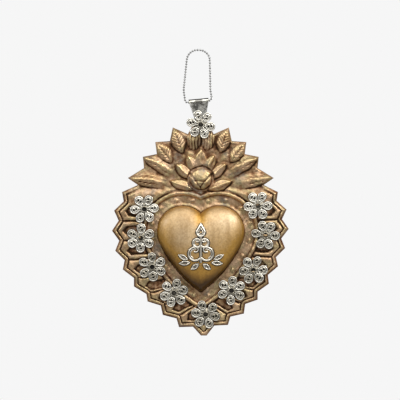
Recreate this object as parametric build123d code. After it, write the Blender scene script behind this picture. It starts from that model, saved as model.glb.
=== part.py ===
from build123d import *
from math import acos, atan2, cos, degrees, hypot, radians, sin, sqrt
import os

# Bench frame: the ornament lies on its back, x to the right, y towards the crest,
# z towards the viewer, z = 0 on the back face. Millimetres and degrees.
# The last step stands it up and hangs it from the origin, front towards -Y.

# Worked sheet, a shallow tray with its rim turned back
sheet = 0.6
tray_depth = 2.6
rim_bevel = 0.8
rim_wall = 0.7
seat_gap = 0.05

# Toothed border, cut by hand: the tips of each side follow a curve through these places,
# from the shoulder down to the toe
right_side = [(38.6, 29.0), (43.9, 9.4), (38.9, -7.6), (29.3, -23.8), (13.6, -37.5)]
left_side = [(-39.4, 29.0), (-44.3, 7.6), (-38.9, -10.0), (-27.4, -25.0), (-10.9, -38.6)]
bottom_point = (1.5, -42.8)
toe_half = 1.4
toe_valley = (0.8, 2.3)
tooth_steps = 8
tooth_depth = 2.8
low_valley = -26.0
low_valley_rise = 1.3

# Crest: corners of the stepped leaf edge on the right, from the tab down to the shoulder
crest_steps = [
    (6.5, 58.0),
    (14.0, 61.3),
    (15.5, 54.5),
    (22.8, 54.0),
    (22.0, 48.0),
    (29.0, 46.6),
    (28.4, 41.0),
    (36.5, 36.0),
    (31.5, 32.5),
]
tab_half = 3.0
tab_reach = 3.4

# Relief of the front
ridge_inset = 1.2
ridge_width = 0.6
ridge_rise = 0.45
lobe_start = 3.6
lobe_point = 2.8
lobe_length = 8.6
lobe_half = 3.3
pocket_start = 7.0
pocket_half = 1.3
lobe_rise = 0.7
frame_offset = 6.5
frame_width = 1.3
frame_rise = 0.8
boss_offset = 3.2
boss_radius = 0.65
boss_rise = 0.5
bosses_per_side = 9
leaf_width = 6.6
leaf_rise = 1.5
leaf_runs = 5
leaf_swell = [(1, 0), (0.72, 0.65), (0.25, 1)]
petal_leaf_width = 4.6
petal_leaf_rise = 1.9
flute_width = 2.3
flute_rise = 1.3
lotus_y = 35.6
lotus_radius = 6.7
lotus_rise = 3.2
lotus_runs = 14
lotus_groove = 0.35

# Leaves of the right half: tip and root
crest_leaves = [
    ((13.4, 60.4), (10.1, 48.0)),
    ((21.7, 53.2), (15.6, 43.5)),
    ((28.0, 45.9), (13.9, 37.2)),
    ((35.5, 35.9), (16.0, 31.6)),
]
lotus_petals = [
    ((15.4, 34.4), (3.5, 30.5)),
    ((12.6, 43.2), (4.5, 35.5)),
    ((6.9, 47.6), (2.0, 38.0)),
]
top_petal = ((0, 51.0), (0, 38.0))
bud_flutes = [
    ((1.25, 58.2), (1.25, 52.2)),
    ((3.5, 58.2), (3.5, 50.7)),
    ((5.6, 57.6), (5.0, 51.6)),
]

# Heart: a round lobe that runs smoothly into the flank, and the height of the dome
heart_lobe_x = 9.0
heart_lobe_y = 9.2
heart_lobe = 12.8
heart_lobe_end = -25
heart_tip = -21.0
heart_tip_share = 1.3
lobe_runs = 13
flank_runs = 4
heart_height = 8.6
heart_crown = 0.4
heart_middle = 3.5
dome_turns = [0, 22, 42, 58, 74, 90]

# Silver sprig on the heart
sprig_sheet = 0.6
sprig_wire = 0.9
sprig_foot = -6.2
sprig_stem = 13.0
sprig_drop = 2.2
sprig_drop_point = 4.0
low_curl = 3.3
low_curl_y = -3.4
high_curl = 2.1
high_curl_y = 2.6
curl_runs = 10
sprig_leaf_width = 2.2
sprig_leaf_places = [((11, -2.4), (6.6, -4.6)), ((10.6, -6.6), (5.4, -6.2)), ((4.6, -9.4), (1.2, -6.9))]
solder_gap = 0.03

# Filigree flowers: place on the plate and turn of the first petal
border_flowers = [
    (-28.2, 20.5, 3),
    (-30.0, 6.0, 30),
    (-24.3, -8.4, 32),
    (-13.4, -21.4, 15),
    (2.4, -32.1, 50),
    (15.3, -20.2, 25),
    (26.2, -10.0, 5),
    (32.3, 7.5, 55),
    (28.6, 22.2, 0),
]
bail_flower_turn = 50
petal_count = 6
cup_sides = 6
pin_sides = 6
petal_reach = 4.85
petal_gap = 0.3
petal_wire = 1.0
petal_tail = 0.45
petal_height = 1.2
scroll_wire = 0.6
scroll_turn = 30
scroll_height = 0.9
cup_flat = 1.35
cup_bore = 0.95
cup_floor = 0.6
cup_rise = 0.3
flower_stand = 1.0
bail_flower_stand = 0.5

# Rivets
pin_radius = 0.5
pin_flange = 0.75
pin_head = 0.3
pin_tail = 0.4

# Bail, a strip folded over the chain and riveted to the crest
rivet_y = 62.7
bail_length = 11.5
bail_tilt = 5.2
bail_width = 10.0
bail_sheet = 0.5
bail_end = 2.5
clamp_reach = 4.3
fold_bore = 1.0
pivot_gap = 0.1
running_gap = 0.05

# Chain of faceted beads, in a plane parallel to the back
chain_plane = 2.4
bead_sides = 6
bead_radius = 0.5
bead_length = 1.0
bead_end = 0.3
bead_pitch = 1.29
wire_radius = 0.2
mouth_reach = 1.7
mouth_bend = 1.5
strand_left = -8.6
strand_right = 4.8
strand_rise = 5.8
arch_left = -6.5
arch_right = 4.4
arch_rise = 20.4

ground = tray_depth
cavity_top = tray_depth - sheet
petal_round = petal_reach * sin(radians(180 / petal_count)) - petal_gap / 2
bail_seat = ground + pivot_gap
bail_front = bail_seat + 2 * bail_sheet


def border_points(side):
    """Toothed edge of one side, from the shoulder's tip to the last valley."""
    edge = Spline(*side)
    tips = [edge @ (i / tooth_steps) for i in range(tooth_steps + 1)]
    tips.append(Vector(*bottom_point))
    inward = -1 if side[0][0] > 0 else 1
    points = []
    for tip, after in zip(tips, tips[1:]):
        middle = (tip + after) / 2
        rise = low_valley_rise if middle.Y < low_valley else 0
        points += [tip, middle + Vector(inward * tooth_depth, rise)]
    points[-1] = middle + Vector(inward * toe_valley[0], toe_valley[1])
    return points


def outline_face(inset=0.0):
    """The plate's outline seen from the front, moved in from its edge."""
    tab = [(tab_half / 2, rivet_y + tab_reach), (tab_half, rivet_y + tab_half / 2)]
    crest = [Vector(*p) for p in tab + crest_steps]
    toe = [Vector(*bottom_point) + Vector(x, 0) for x in (toe_half, -toe_half)]
    points = crest + border_points(right_side) + toe + border_points(left_side)[::-1]
    points += [Vector(-p.X, p.Y) for p in reversed(crest)]
    moved = []
    for before, at, after in zip(points[-1:] + points, points, points[1:] + points[:1]):
        arriving = (at - before).normalized().rotate(Axis.Z, -90)
        leaving = (after - at).normalized().rotate(Axis.Z, -90)
        moved.append(at + (arriving + leaving) * (inset / (1 + arriving.dot(leaving))))
    return make_face(Polyline(*moved, close=True))


def tooth_axes():
    """Tip and inward direction of every tooth below the shoulders."""
    axes = [(Vector(*bottom_point), Vector(0, 1))]
    for side in (right_side, left_side):
        points = border_points(side)
        for before, tip, after in list(zip(points, points[1:], points[2:]))[1::2]:
            axes.append((tip, ((before + after) / 2 - tip).normalized()))
    return axes


def heart_ring(grow=0.0, share=1.0, height=0.0):
    """Corners of the heart outline, grown by a margin, scaled about its middle, at a height."""
    radius = heart_lobe + grow
    notch_turn = degrees(acos(-heart_lobe_x / radius))
    lobe = CenterArc((heart_lobe_x, heart_lobe_y), radius, notch_turn, heart_lobe_end - notch_turn)
    tip = Vector(0, heart_tip - heart_tip_share * grow)
    flank = TangentArc(lobe @ 1, tip, tangent=lobe % 1)
    half = [lobe @ (i / lobe_runs) for i in range(lobe_runs + 1)]
    half += [flank @ (i / flank_runs) for i in range(1, flank_runs)]
    ring = half + [tip] + [Vector(-at.X, at.Y) for at in reversed(half[1:])]
    return [Vector(share * at.X, heart_middle + share * (at.Y - heart_middle), height) for at in ring]


def heart_face(grow=0.0):
    """Flat heart, grown by a margin."""
    return make_face(Polyline(*heart_ring(grow), close=True))


def facet_solid(rings):
    """Solid with flat facets between rings of corners that match one to one."""
    facets = [rings[0], rings[-1]]
    for low, high in zip(rings, rings[1:]):
        facets += [[low[i - 1], low[i], high[i], high[i - 1]] for i in range(len(low))]
    return Solid(Shell([Face(Wire.make_polygon(corners)) for corners in facets]))


def heart_solid(grow=0.0):
    """Solid pillow heart on the sheet: its rings shrink as they climb."""
    rings = []
    for turn in dome_turns:
        share = heart_crown + (1 - heart_crown) * cos(radians(turn))
        height = (heart_height + grow) * sin(radians(turn))
        rings.append(heart_ring(grow, share, ground + height))
    return facet_solid(rings)


def almond_ring(length, width):
    """Corners of a pointed oval with its length along x and its middle at the origin."""
    half = length / 2
    upper = ThreePointArc((-half, 0), (0, width / 2), (half, 0))
    rim = [upper @ (i / leaf_runs) for i in range(leaf_runs + 1)]
    return rim + [Vector(at.X, -at.Y) for at in reversed(rim[1:-1])]


def leaf_place(tip, root):
    """Place at the middle of a leaf, turned along it."""
    turn = degrees(atan2(tip[1] - root[1], tip[0] - root[0]))
    return Pos((tip[0] + root[0]) / 2, (tip[1] + root[1]) / 2) * Rot(0, 0, turn)


def leaf(tip, root, width, rise):
    """Plump pointed leaf on the ground of the plate: its rings shrink as they climb."""
    rim = almond_ring(hypot(tip[0] - root[0], tip[1] - root[1]), width)
    rings = [[share * at + Vector(0, 0, climb * rise) for at in rim] for share, climb in leaf_swell]
    return Pos(0, 0, ground) * leaf_place(tip, root) * facet_solid(rings)


def both_sides(shape):
    """A shape of the right half with its mirror image."""
    return [shape, mirror(shape, about=Plane.YZ)]


def dome(radius, rise):
    """Faceted cap of a sphere that stands on z = 0."""
    ball = (radius * radius + rise * rise) / (2 * rise)
    spots = Circle(radius).edge()
    rings = []
    for share in (1, 0.8, 0.5, 0.2):
        height = sqrt(ball**2 - (share * radius) ** 2) - (ball - rise)
        rings.append([share * (spots @ (i / lotus_runs)) + Vector(0, 0, height) for i in range(lotus_runs)])
    return facet_solid(rings)


def lotus_bud():
    """Round bud of the lotus with the seams of its three inner petals."""
    r = lotus_radius
    seams = [
        ThreePointArc((-0.8 * r, 0.25 * r), (0, -0.33 * r), (0.8 * r, 0.25 * r)),
        ThreePointArc((-0.9 * r, -0.18 * r), (-0.39 * r, -0.48 * r), (0, -0.95 * r)),
        ThreePointArc((0.9 * r, -0.18 * r), (0.39 * r, -0.48 * r), (0, -0.95 * r)),
    ]
    bud = dome(lotus_radius, lotus_rise)
    floor = Pos(0, 0, -lotus_groove) * dome(lotus_radius, lotus_rise)
    for seam in seams:
        bud -= extrude(trace(seam, lotus_groove), lotus_rise) - floor
    return Pos(0, lotus_y, ground) * bud


def border_ridge():
    """Raised line that follows the teeth."""
    band = outline_face(ridge_inset) - outline_face(ridge_inset + ridge_width)
    below = Pos(0, right_side[0][1] - 60) * Rectangle(120, 120)
    return Pos(0, 0, ground) * extrude(band & below, ridge_rise)


def tooth_lobe(tip, inward):
    """Raised pointed band round the pocket inside one tooth, open towards the heart."""
    back = lobe_start + lobe_length
    rows = [(lobe_start, 0), (lobe_start + lobe_point, lobe_half), (back, lobe_half)]
    step = lobe_point * pocket_half / lobe_half
    rows += [(back, pocket_half), (pocket_start + step, pocket_half), (pocket_start, 0)]
    band = make_face(Polyline(*rows, close=True))
    band += mirror(band, about=Plane.XZ)
    turn = degrees(atan2(inward.Y, inward.X))
    return Pos(tip.X, tip.Y, ground) * Rot(0, 0, turn) * extrude(band, lobe_rise)


def frame_bosses():
    """Punched bosses along the channel between the heart and its frame."""
    boss = extrude(RegularPolygon(boss_radius, 6), boss_rise, taper=40)
    outline = Polyline(*heart_ring(boss_offset), close=True)
    count = 2 * bosses_per_side
    places = [outline @ ((i + 0.5) / count) for i in range(count)]
    return [Pos(at.X, at.Y, ground) * boss for at in places]


def relief():
    """Everything that is raised above the ground of the front plate."""
    raised = [border_ridge()] + frame_bosses()
    raised += [tooth_lobe(tip, inward) for tip, inward in tooth_axes()]
    frame = heart_face(frame_offset + frame_width / 2) - heart_face(frame_offset - frame_width / 2)
    raised.append(Pos(0, 0, ground) * extrude(frame, frame_rise))
    for tip, root in crest_leaves:
        raised += both_sides(leaf(tip, root, leaf_width, leaf_rise))
    for tip, root in bud_flutes:
        raised += both_sides(leaf(tip, root, flute_width, flute_rise))
    for tip, root in lotus_petals:
        raised += both_sides(leaf(tip, root, petal_leaf_width, petal_leaf_rise))
    raised.append(leaf(*top_petal, petal_leaf_width, petal_leaf_rise))
    raised.append(lotus_bud())
    return raised


def flower_places():
    """Places of the border flowers on the ground of the plate."""
    return [Pos(x, y, ground) * Rot(0, 0, turn) for x, y, turn in border_flowers]


def front_plate():
    """Worked sheet: bevelled tray with its relief, rivet holes and hollow back."""
    straight = tray_depth - rim_bevel
    plate = extrude(outline_face(), straight)
    edge = Pos(0, 0, straight) * outline_face()
    plate += loft([edge, Pos(0, 0, ground) * outline_face(rim_bevel)], ruled=True)
    plate = plate.fuse(*relief())
    hole = prism(pin_radius + seat_gap, pin_sides, -2 * sheet, sheet)
    hole += prism(cup_flat + seat_gap, cup_sides, 0, frame_rise + sheet)
    plate -= [place * hole for place in flower_places()]
    plate -= Pos(0, rivet_y, ground) * Cylinder(pin_radius + seat_gap, 3 * sheet)
    return plate - extrude(outline_face(rim_wall), cavity_top)


def back_plate():
    """Flat sheet that closes the back, inside the turned-back rim."""
    return extrude(outline_face(rim_wall + seat_gap), sheet)


def heart_dome():
    """Hollow raised heart."""
    return heart_solid() - heart_solid(-sheet)


def on_heart(faces):
    """Cuts flat shapes to a thin layer that follows the heart's surface."""
    layer = heart_solid(solder_gap + sprig_sheet) - heart_solid(solder_gap)
    return [extrude(face, ground + 2 * heart_height) & layer for face in faces]


def drop_face(radius, point):
    """Flat drop: round below, with its point up."""
    turns = [radians(30 * i - 210) for i in range(9)]
    return make_face(Polyline(*[(radius * cos(t), radius * sin(t)) for t in turns], (0, point), close=True))


def sprig_bud():
    """Open drop at the head of the sprig."""
    drop = drop_face(sprig_drop, sprig_drop_point) - drop_face(sprig_drop - sprig_wire, sprig_drop_point / 2)
    return on_heart([Pos(0, sprig_foot + sprig_stem + sprig_drop) * drop])


def curl(radius, start_y, side):
    """Scroll that leaves the stem to one side and rolls up on itself."""
    x = radius * cos(radians(30))
    y = start_y + radius / 2
    inner = 0.36 * radius
    turn = radians(100)
    large = CenterArc((x, y), radius, -150, 250)
    small_at = (x + (radius - inner) * cos(turn), y + (radius - inner) * sin(turn))
    small = CenterArc(small_at, inner, 100, 180)
    line = [large @ (i / curl_runs) for i in range(curl_runs)]
    line += [small @ (2 * i / curl_runs) for i in range(curl_runs // 2 + 1)]
    return trace(Polyline(*[(side * at.X, at.Y) for at in line]), sprig_wire)


def sprig_scrolls():
    """Stem with two pairs of scrolls."""
    drawing = Pos(0, sprig_foot + sprig_stem / 2) * Rectangle(sprig_wire, sprig_stem)
    for side in (-1, 1):
        drawing += curl(low_curl, low_curl_y, side)
        drawing += curl(high_curl, high_curl_y, side)
    return on_heart([drawing])


def sprig_leaves():
    """Three small leaves on each side of the stem's foot."""
    leaves = []
    for tip, root in sprig_leaf_places:
        rim = almond_ring(hypot(tip[0] - root[0], tip[1] - root[1]), sprig_leaf_width)
        leaves += both_sides(leaf_place(tip, root) * make_face(Polyline(*rim, close=True)))
    return on_heart(leaves)


def petal_eye():
    """Six-sided opening in the middle of a petal."""
    return Pos(petal_reach, 0) * RegularPolygon(petal_round - petal_wire, 6)


def petal_loop():
    """One broad wire loop, from a flat of the cup outwards along x."""
    turns = [radians(45 * i - 112.5) for i in range(6)]
    round_end = [(petal_reach + petal_round * cos(t), petal_round * sin(t)) for t in turns]
    petal = make_face(Polyline(*round_end, (cup_flat, petal_tail), (cup_flat, -petal_tail), close=True))
    return extrude(petal - petal_eye(), petal_height)


def petal_scroll():
    """Slanted strip that parts a petal's opening into two eyes."""
    strip = Pos(petal_reach, 0) * Rot(0, 0, scroll_turn) * Rectangle(2 * petal_round, scroll_wire)
    return extrude(petal_eye() & strip, scroll_height)


def around(shape):
    """Six copies of a petal piece round the flower's middle."""
    return [Rot(0, 0, i * 360 / petal_count) * shape for i in range(petal_count)]


def prism(radius, sides, low, high):
    """Upright prism whose flats lie at a radius, the first one across x."""
    corner = radius / cos(radians(180 / sides))
    face = Rot(0, 0, 180 / sides) * RegularPolygon(corner, sides)
    return Pos(0, 0, low) * extrude(face, high - low)


def cup(base, hole):
    """Centre tube of a flower; its foot stands base below the petals."""
    top = petal_height + cup_rise
    tube = prism(cup_flat, cup_sides, -base, top) - prism(cup_bore, cup_sides, cup_floor - base, top)
    return tube - hole


def flower_pin():
    """Headed pin: the head's seat is at z = 0, the tail's seat is under the plate's sheet."""
    seat = -cup_floor - sheet
    pin = prism(pin_radius, pin_sides, seat, pin_head) + prism(pin_flange, pin_sides, 0, pin_head)
    return pin + prism(pin_flange, pin_sides, seat - pin_tail, seat)


def bail_rivet():
    """Round rivet that the plate turns on; its head's seat is at z = 0."""
    low = (Align.CENTER, Align.CENTER, Align.MIN)
    seat = cavity_top - bail_front - pivot_gap - cup_floor
    pin = Pos(0, 0, seat) * Cylinder(pin_radius, pin_head - seat, align=low)
    pin += prism(pin_flange, pin_sides, 0, pin_head)
    return pin + prism(pin_flange, pin_sides, seat - pin_tail, seat)


def bail():
    """Folded strip: a drop-shaped section along x, cut to a tapered outline."""
    fold = Pos(bail_length, chain_plane)
    leaves_mid = bail_seat + bail_sheet
    neck = Pos(clamp_reach - bail_sheet / 2, leaves_mid) * Rectangle(bail_sheet, 2 * bail_sheet)
    around_fold = make_hull((fold * Circle(fold_bore + bail_sheet)).edges() + neck.edges())
    run = clamp_reach + bail_end
    clamp = Pos(clamp_reach - run / 2, leaves_mid) * Rectangle(run, 2 * bail_sheet)
    tip = Pos(clamp_reach + bail_sheet, leaves_mid) * Circle(bail_sheet / 10)
    inside = make_hull((fold * Circle(fold_bore)).edges() + tip.edges())
    section = Plane.YZ * (around_fold + clamp - inside)
    strip = extrude(section, bail_width / 2, both=True)
    top = Pos(0, bail_length) * Rectangle(bail_width, 2 * (fold_bore + bail_sheet))
    front = make_hull(Circle(bail_end).edges() + top.edges())
    strip &= extrude(front, 20, both=True)
    strip -= Cylinder(pin_radius + running_gap, 20)
    return Pos(0, rivet_y) * Rot(0, 0, bail_tilt) * strip


def fold_middle():
    """Middle of the bail's fold, which the chain runs through."""
    return Vector(0, rivet_y) + Vector(0, bail_length).rotate(Axis.Z, bail_tilt)


def chain_route():
    """Closed line of the chain: through the fold, up both strands and over the arch."""
    fold = fold_middle()
    across = Vector(cos(radians(bail_tilt)), sin(radians(bail_tilt)))
    along = across * (bail_width / 2 + mouth_reach)
    arch_radius = (arch_right - arch_left) / 2
    corners = [
        fold - along,
        fold + along,
        Vector(strand_right, fold.Y + strand_rise),
        Vector(arch_right, fold.Y + arch_rise + arch_radius),
        Vector(arch_left, fold.Y + arch_rise + arch_radius),
        Vector(strand_left, fold.Y + strand_rise),
    ]
    bends = [mouth_bend, mouth_bend, 10, arch_radius * 0.98, arch_radius * 0.98, 10]
    return FilletPolyline(*corners, radius=bends, close=True)


def chain():
    """Beads at even steps along the route and the wires from bead to bead."""
    route = chain_route().wire()
    count = round(route.length / bead_pitch)
    planes = []
    for i in range(count):
        at = route.position_at(i / count) + Vector(0, 0, chain_plane)
        planes.append(Plane(at, x_dir=(0, 0, 1), z_dir=route.tangent_at(i / count)))
    half = bead_length / 2
    slope = degrees(atan2((bead_radius - bead_end) * cos(radians(180 / bead_sides)), half))
    upper = extrude(RegularPolygon(bead_radius, bead_sides), half, taper=slope)
    bead = upper + mirror(upper, about=Plane.XY)
    beads = [plane * bead for plane in planes]
    wires = []
    for plane, after in zip(planes, planes[1:] + planes[:1]):
        leaving = plane * Pos(0, 0, half) * RegularPolygon(wire_radius, 3)
        entering = after * Pos(0, 0, -half) * RegularPolygon(wire_radius, 3)
        wires.append(loft([leaving, entering], ruled=True))
    return beads, wires


def hang_height():
    """Bench height of the arch's inside above x = 0, where a hook takes the weight."""
    arch_radius = (arch_right - arch_left) / 2
    middle = (arch_right + arch_left) / 2
    spring = fold_middle().Y + arch_rise
    return spring + sqrt((arch_radius - bead_radius) ** 2 - middle**2)


def all_parts():
    """Every node's name with its shapes in the bench frame."""
    parts = {"front_plate": [front_plate()], "back_plate": [back_plate()]}
    parts["heart_dome"] = [heart_dome()]
    parts["sprig_bud"] = sprig_bud()
    parts["sprig_scrolls"] = sprig_scrolls()
    parts["sprig_leaves"] = sprig_leaves()
    loops = around(petal_loop())
    scrolls = around(petal_scroll())
    for i, place in enumerate(flower_places(), 1):
        raised = place * Pos(0, 0, flower_stand)
        parts[f"flower_{i}_petals"] = [raised * loop for loop in loops]
        parts[f"flower_{i}_scrolls"] = [raised * scroll for scroll in scrolls]
        pin_hole = prism(pin_radius + seat_gap, pin_sides, -2 * flower_stand, flower_stand)
        parts[f"flower_{i}_cup"] = [raised * cup(flower_stand, pin_hole)]
    head = Pos(0, 0, cup_floor)
    parts["flower_pins"] = [place * head * flower_pin() for place in flower_places()]
    on_bail = Pos(0, rivet_y, bail_front + pivot_gap) * Rot(0, 0, bail_flower_turn)
    raised = on_bail * Pos(0, 0, bail_flower_stand)
    parts["bail_flower_petals"] = [raised * loop for loop in loops]
    parts["bail_flower_scrolls"] = [raised * scroll for scroll in scrolls]
    rivet_hole = Cylinder(pin_radius + seat_gap, 4 * petal_height)
    parts["bail_flower_cup"] = [raised * cup(bail_flower_stand, rivet_hole)]
    parts["bail_rivet"] = [on_bail * head * bail_rivet()]
    parts["bail"] = [bail()]
    parts["chain_beads"], parts["chain_wires"] = chain()
    return parts


os.makedirs("parts", exist_ok=True)
stand = Plane((0, chain_plane, -hang_height()), x_dir=(1, 0, 0), z_dir=(0, -1, 0))
for name, shapes in all_parts().items():
    solids = [stand * solid for shape in shapes for solid in shape.solids()]
    export_step(Compound(children=solids), f"parts/{name}.step")
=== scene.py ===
import math

import bpy
import numpy as np
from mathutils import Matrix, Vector
from mathutils.geometry import delaunay_2d_cdt


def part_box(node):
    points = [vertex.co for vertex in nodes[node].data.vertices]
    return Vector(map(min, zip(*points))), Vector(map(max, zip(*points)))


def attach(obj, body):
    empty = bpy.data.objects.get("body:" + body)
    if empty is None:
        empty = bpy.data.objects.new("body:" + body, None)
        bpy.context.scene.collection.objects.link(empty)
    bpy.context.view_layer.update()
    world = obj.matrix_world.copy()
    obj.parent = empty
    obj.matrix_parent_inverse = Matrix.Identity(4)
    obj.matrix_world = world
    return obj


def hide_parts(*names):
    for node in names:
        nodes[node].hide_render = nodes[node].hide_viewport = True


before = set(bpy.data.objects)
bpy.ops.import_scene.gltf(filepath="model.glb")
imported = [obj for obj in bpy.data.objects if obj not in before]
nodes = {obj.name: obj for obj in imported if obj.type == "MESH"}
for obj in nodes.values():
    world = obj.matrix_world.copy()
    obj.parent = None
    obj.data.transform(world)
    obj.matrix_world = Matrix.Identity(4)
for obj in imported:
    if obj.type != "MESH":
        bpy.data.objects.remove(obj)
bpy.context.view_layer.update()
scene = bpy.context.scene
rng = np.random.default_rng(11)
print("frame loaded:", len(nodes), "nodes")

# Bench view in mm: x to the right, y to the crest, z to the viewer, z = 0 on the back face
bench = {"lowestY": -42.8, "ground": 2.6, "bevelDrop": 0.8, "rimWall": 0.7, "rimFoot": 0.25, "rimRound": 0.12,
         "ceiling": 2.0}
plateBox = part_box("front_plate")
backLevel = plateBox[1][1]
lift = plateBox[0][2] - bench["lowestY"] / 1000
ground = bench["ground"]


def toWorld(points):
    p = np.asarray(points, float)
    return np.stack([p[:, 0] / 1000, backLevel - p[:, 2] / 1000, lift + p[:, 1] / 1000], axis=1)


def toBench(points):
    p = np.asarray(points, float)
    return np.stack([p[:, 0], p[:, 2] - lift, backLevel - p[:, 1]], axis=1) * 1000


def nodeBench(node):
    return toBench([v.co for v in nodes[node].data.vertices])


def nodeMiddle(node):
    spots = nodeBench(node)
    return (spots.min(axis=0) + spots.max(axis=0)) / 2


def smoothStep(low, high, value):
    t = np.clip((value - low) / (high - low), 0, 1)
    return t * t * (3 - 2 * t)


def bell(value, reach):
    return np.exp(-((value / reach) ** 2))


def taper(value, power):
    # 1 in the middle, 0 at the edge and beyond
    return np.clip(1 - np.abs(value) ** power, 0, 1)


def roll(distance, half, rise):
    # rounded raised line
    return rise * np.sqrt(taper(distance / half, 2))


def lines(place, pitch, phase=0.0):
    # evenly spaced strokes of a tool
    return np.clip(np.cos(2 * math.pi * place / pitch + phase), 0, 1)


# Materials

def addNode(tree, kind, **values):
    node = tree.nodes.new(kind)
    for key, value in values.items():
        if key in node.inputs:
            node.inputs[key].default_value = value
        else:
            setattr(node, key, value)
    return node


def feed(tree, socket, value):
    # a number or colour is set on the socket, anything else is linked to it
    if isinstance(value, (int, float)):
        socket.default_value = value
    elif isinstance(value, tuple):
        socket.default_value = (*value, 1)
    else:
        tree.links.new(value, socket)


def newGroup(name, values, outputs):
    # each group takes a place on the surface first, then its values
    tree = bpy.data.node_groups.new(name, "ShaderNodeTree")
    tree.interface.new_socket("Place", in_out="INPUT", socket_type="NodeSocketVector")
    for label, value in values.items():
        socket = tree.interface.new_socket(label, in_out="INPUT", socket_type="NodeSocketFloat")
        socket.default_value = value
    for label in outputs:
        tree.interface.new_socket(label, in_out="OUTPUT", socket_type="NodeSocketFloat")
    return tree, tree.nodes.new("NodeGroupInput").outputs, tree.nodes.new("NodeGroupOutput").inputs


def noise(tree, place, scale, detail, rough, **values):
    node = addNode(tree, "ShaderNodeTexNoise", Detail=detail, Roughness=rough, **values)
    tree.links.new(place, node.inputs["Vector"])
    feed(tree, node.inputs["Scale"], scale)
    return node.outputs["Fac"]


def edgeRamp(tree, source, edges, top=1.0, bottom=0.0):
    # grey ramp from one edge to the other
    node = tree.nodes.new("ShaderNodeValToRGB")
    for element, at, shade in zip(node.color_ramp.elements, edges, (bottom, top)):
        element.position = at
        element.color = (shade, shade, shade, 1)
    tree.links.new(source, node.inputs["Fac"])
    return node.outputs["Color"]


def mathNode(tree, operation, first, second, clamp=False):
    node = addNode(tree, "ShaderNodeMath", operation=operation, use_clamp=clamp)
    feed(tree, node.inputs[0], first)
    feed(tree, node.inputs[1], second)
    return node.outputs[0]


def times(tree, first, second, clamp=False):
    return mathNode(tree, "MULTIPLY", first, second, clamp)


def mixColour(tree, factor, first, second):
    node = addNode(tree, "ShaderNodeMix", data_type="RGBA")
    for place, value in ((0, factor), (6, first), (7, second)):
        feed(tree, node.inputs[place], value)
    return node.outputs[2]


effects = {
    "cloudEdges": (0.36, 0.66), "speckEdges": (0.4, 0.62), "speckFiner": 9.0, "hollowSteep": 3.2,
    "edgeGrain": 700.0, "brightSteep": 3.0, "wideStroke": 0.16, "sheetGrain": 2600.0,
}


def buildPatinaAndShade():
    # dark patina that lies in the hollows and comes up in clouds, and painted shade where the incoming value is low
    tree, inp, out = newGroup("patinaAndPaintedShade", {"Rub": 0.5, "Cloud Size": 90.0, "Clouds": 0.5, "Depth": 0.5},
                              ("Hollow", "Cloud", "Speck"))
    speckSize = times(tree, inp["Cloud Size"], effects["speckFiner"])
    clouds = noise(tree, inp["Place"], inp["Cloud Size"], 5.0, 0.62, Distortion=0.4)
    specks = noise(tree, inp["Place"], speckSize, 6.0, 0.75)
    wander = times(tree, mathNode(tree, "SUBTRACT", clouds, 0.5), inp["Clouds"])
    low = mathNode(tree, "SUBTRACT", inp["Depth"], mathNode(tree, "ADD", inp["Rub"], wander))
    tree.links.new(times(tree, low, effects["hollowSteep"], clamp=True), out["Hollow"])
    tree.links.new(edgeRamp(tree, clouds, effects["cloudEdges"]), out["Cloud"])
    tree.links.new(edgeRamp(tree, specks, effects["speckEdges"]), out["Speck"])
    return tree


def buildRubbed():
    # bare bright metal where hands and cloth have rubbed the high places, and painted highlights where the incoming
    # value is high
    tree, inp, out = newGroup("rubbedCrownsAndHighlights", {"Rub": 0.5, "Start": 0.55, "Ragged": 0.2}, ("Bright",))
    grain = noise(tree, inp["Place"], effects["edgeGrain"], 4.0, 0.7)
    edge = times(tree, mathNode(tree, "SUBTRACT", grain, 0.5), inp["Ragged"])
    over = mathNode(tree, "SUBTRACT", mathNode(tree, "ADD", inp["Rub"], edge), inp["Start"])
    tree.links.new(times(tree, over, effects["brightSteep"], clamp=True), out["Bright"])
    return tree


def buildBrushing():
    # fine strokes of the polishing cloth, up and down the ornament
    tree, inp, out = newGroup("clothStrokes", {"Fine": 900.0, "Stretch": 0.05}, ("Stroke", "Wide Stroke"))
    squeeze = addNode(tree, "ShaderNodeCombineXYZ", X=1.0, Y=1.0)
    tree.links.new(inp["Stretch"], squeeze.inputs["Z"])
    scaled = addNode(tree, "ShaderNodeVectorMath", operation="MULTIPLY")
    tree.links.new(inp["Place"], scaled.inputs[0])
    tree.links.new(squeeze.outputs[0], scaled.inputs[1])
    for label, share in (("Stroke", 1.0), ("Wide Stroke", effects["wideStroke"])):
        stroke = noise(tree, scaled.outputs[0], times(tree, inp["Fine"], share), 4.0, 0.6)
        tree.links.new(stroke, out[label])
    return tree


def buildHammer():
    # shallow dents of the repousse hammer and the grain of the sheet
    tree, inp, out = newGroup("hammerDents", {"Dent Size": 600.0, "Grain": 0.3}, ("Height",))
    dents = addNode(tree, "ShaderNodeTexVoronoi", feature="SMOOTH_F1")
    tree.links.new(inp["Place"], dents.inputs["Vector"])
    tree.links.new(inp["Dent Size"], dents.inputs["Scale"])
    fine = times(tree, noise(tree, inp["Place"], effects["sheetGrain"], 3.0, 0.5), inp["Grain"])
    tree.links.new(mathNode(tree, "ADD", dents.outputs["Distance"], fine), out["Height"])
    return tree


groups = {"patinaAndShade": buildPatinaAndShade(), "rubbedAndHighlit": buildRubbed(), "brushing": buildBrushing(), "hammer": buildHammer()}


def useGroup(tree, name, place, **values):
    node = tree.nodes.new("ShaderNodeGroup")
    node.node_tree = groups[name]
    tree.links.new(place, node.inputs["Place"])
    for label, value in values.items():
        feed(tree, node.inputs[label.replace("_", " ")], value)
    return node.outputs


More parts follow.
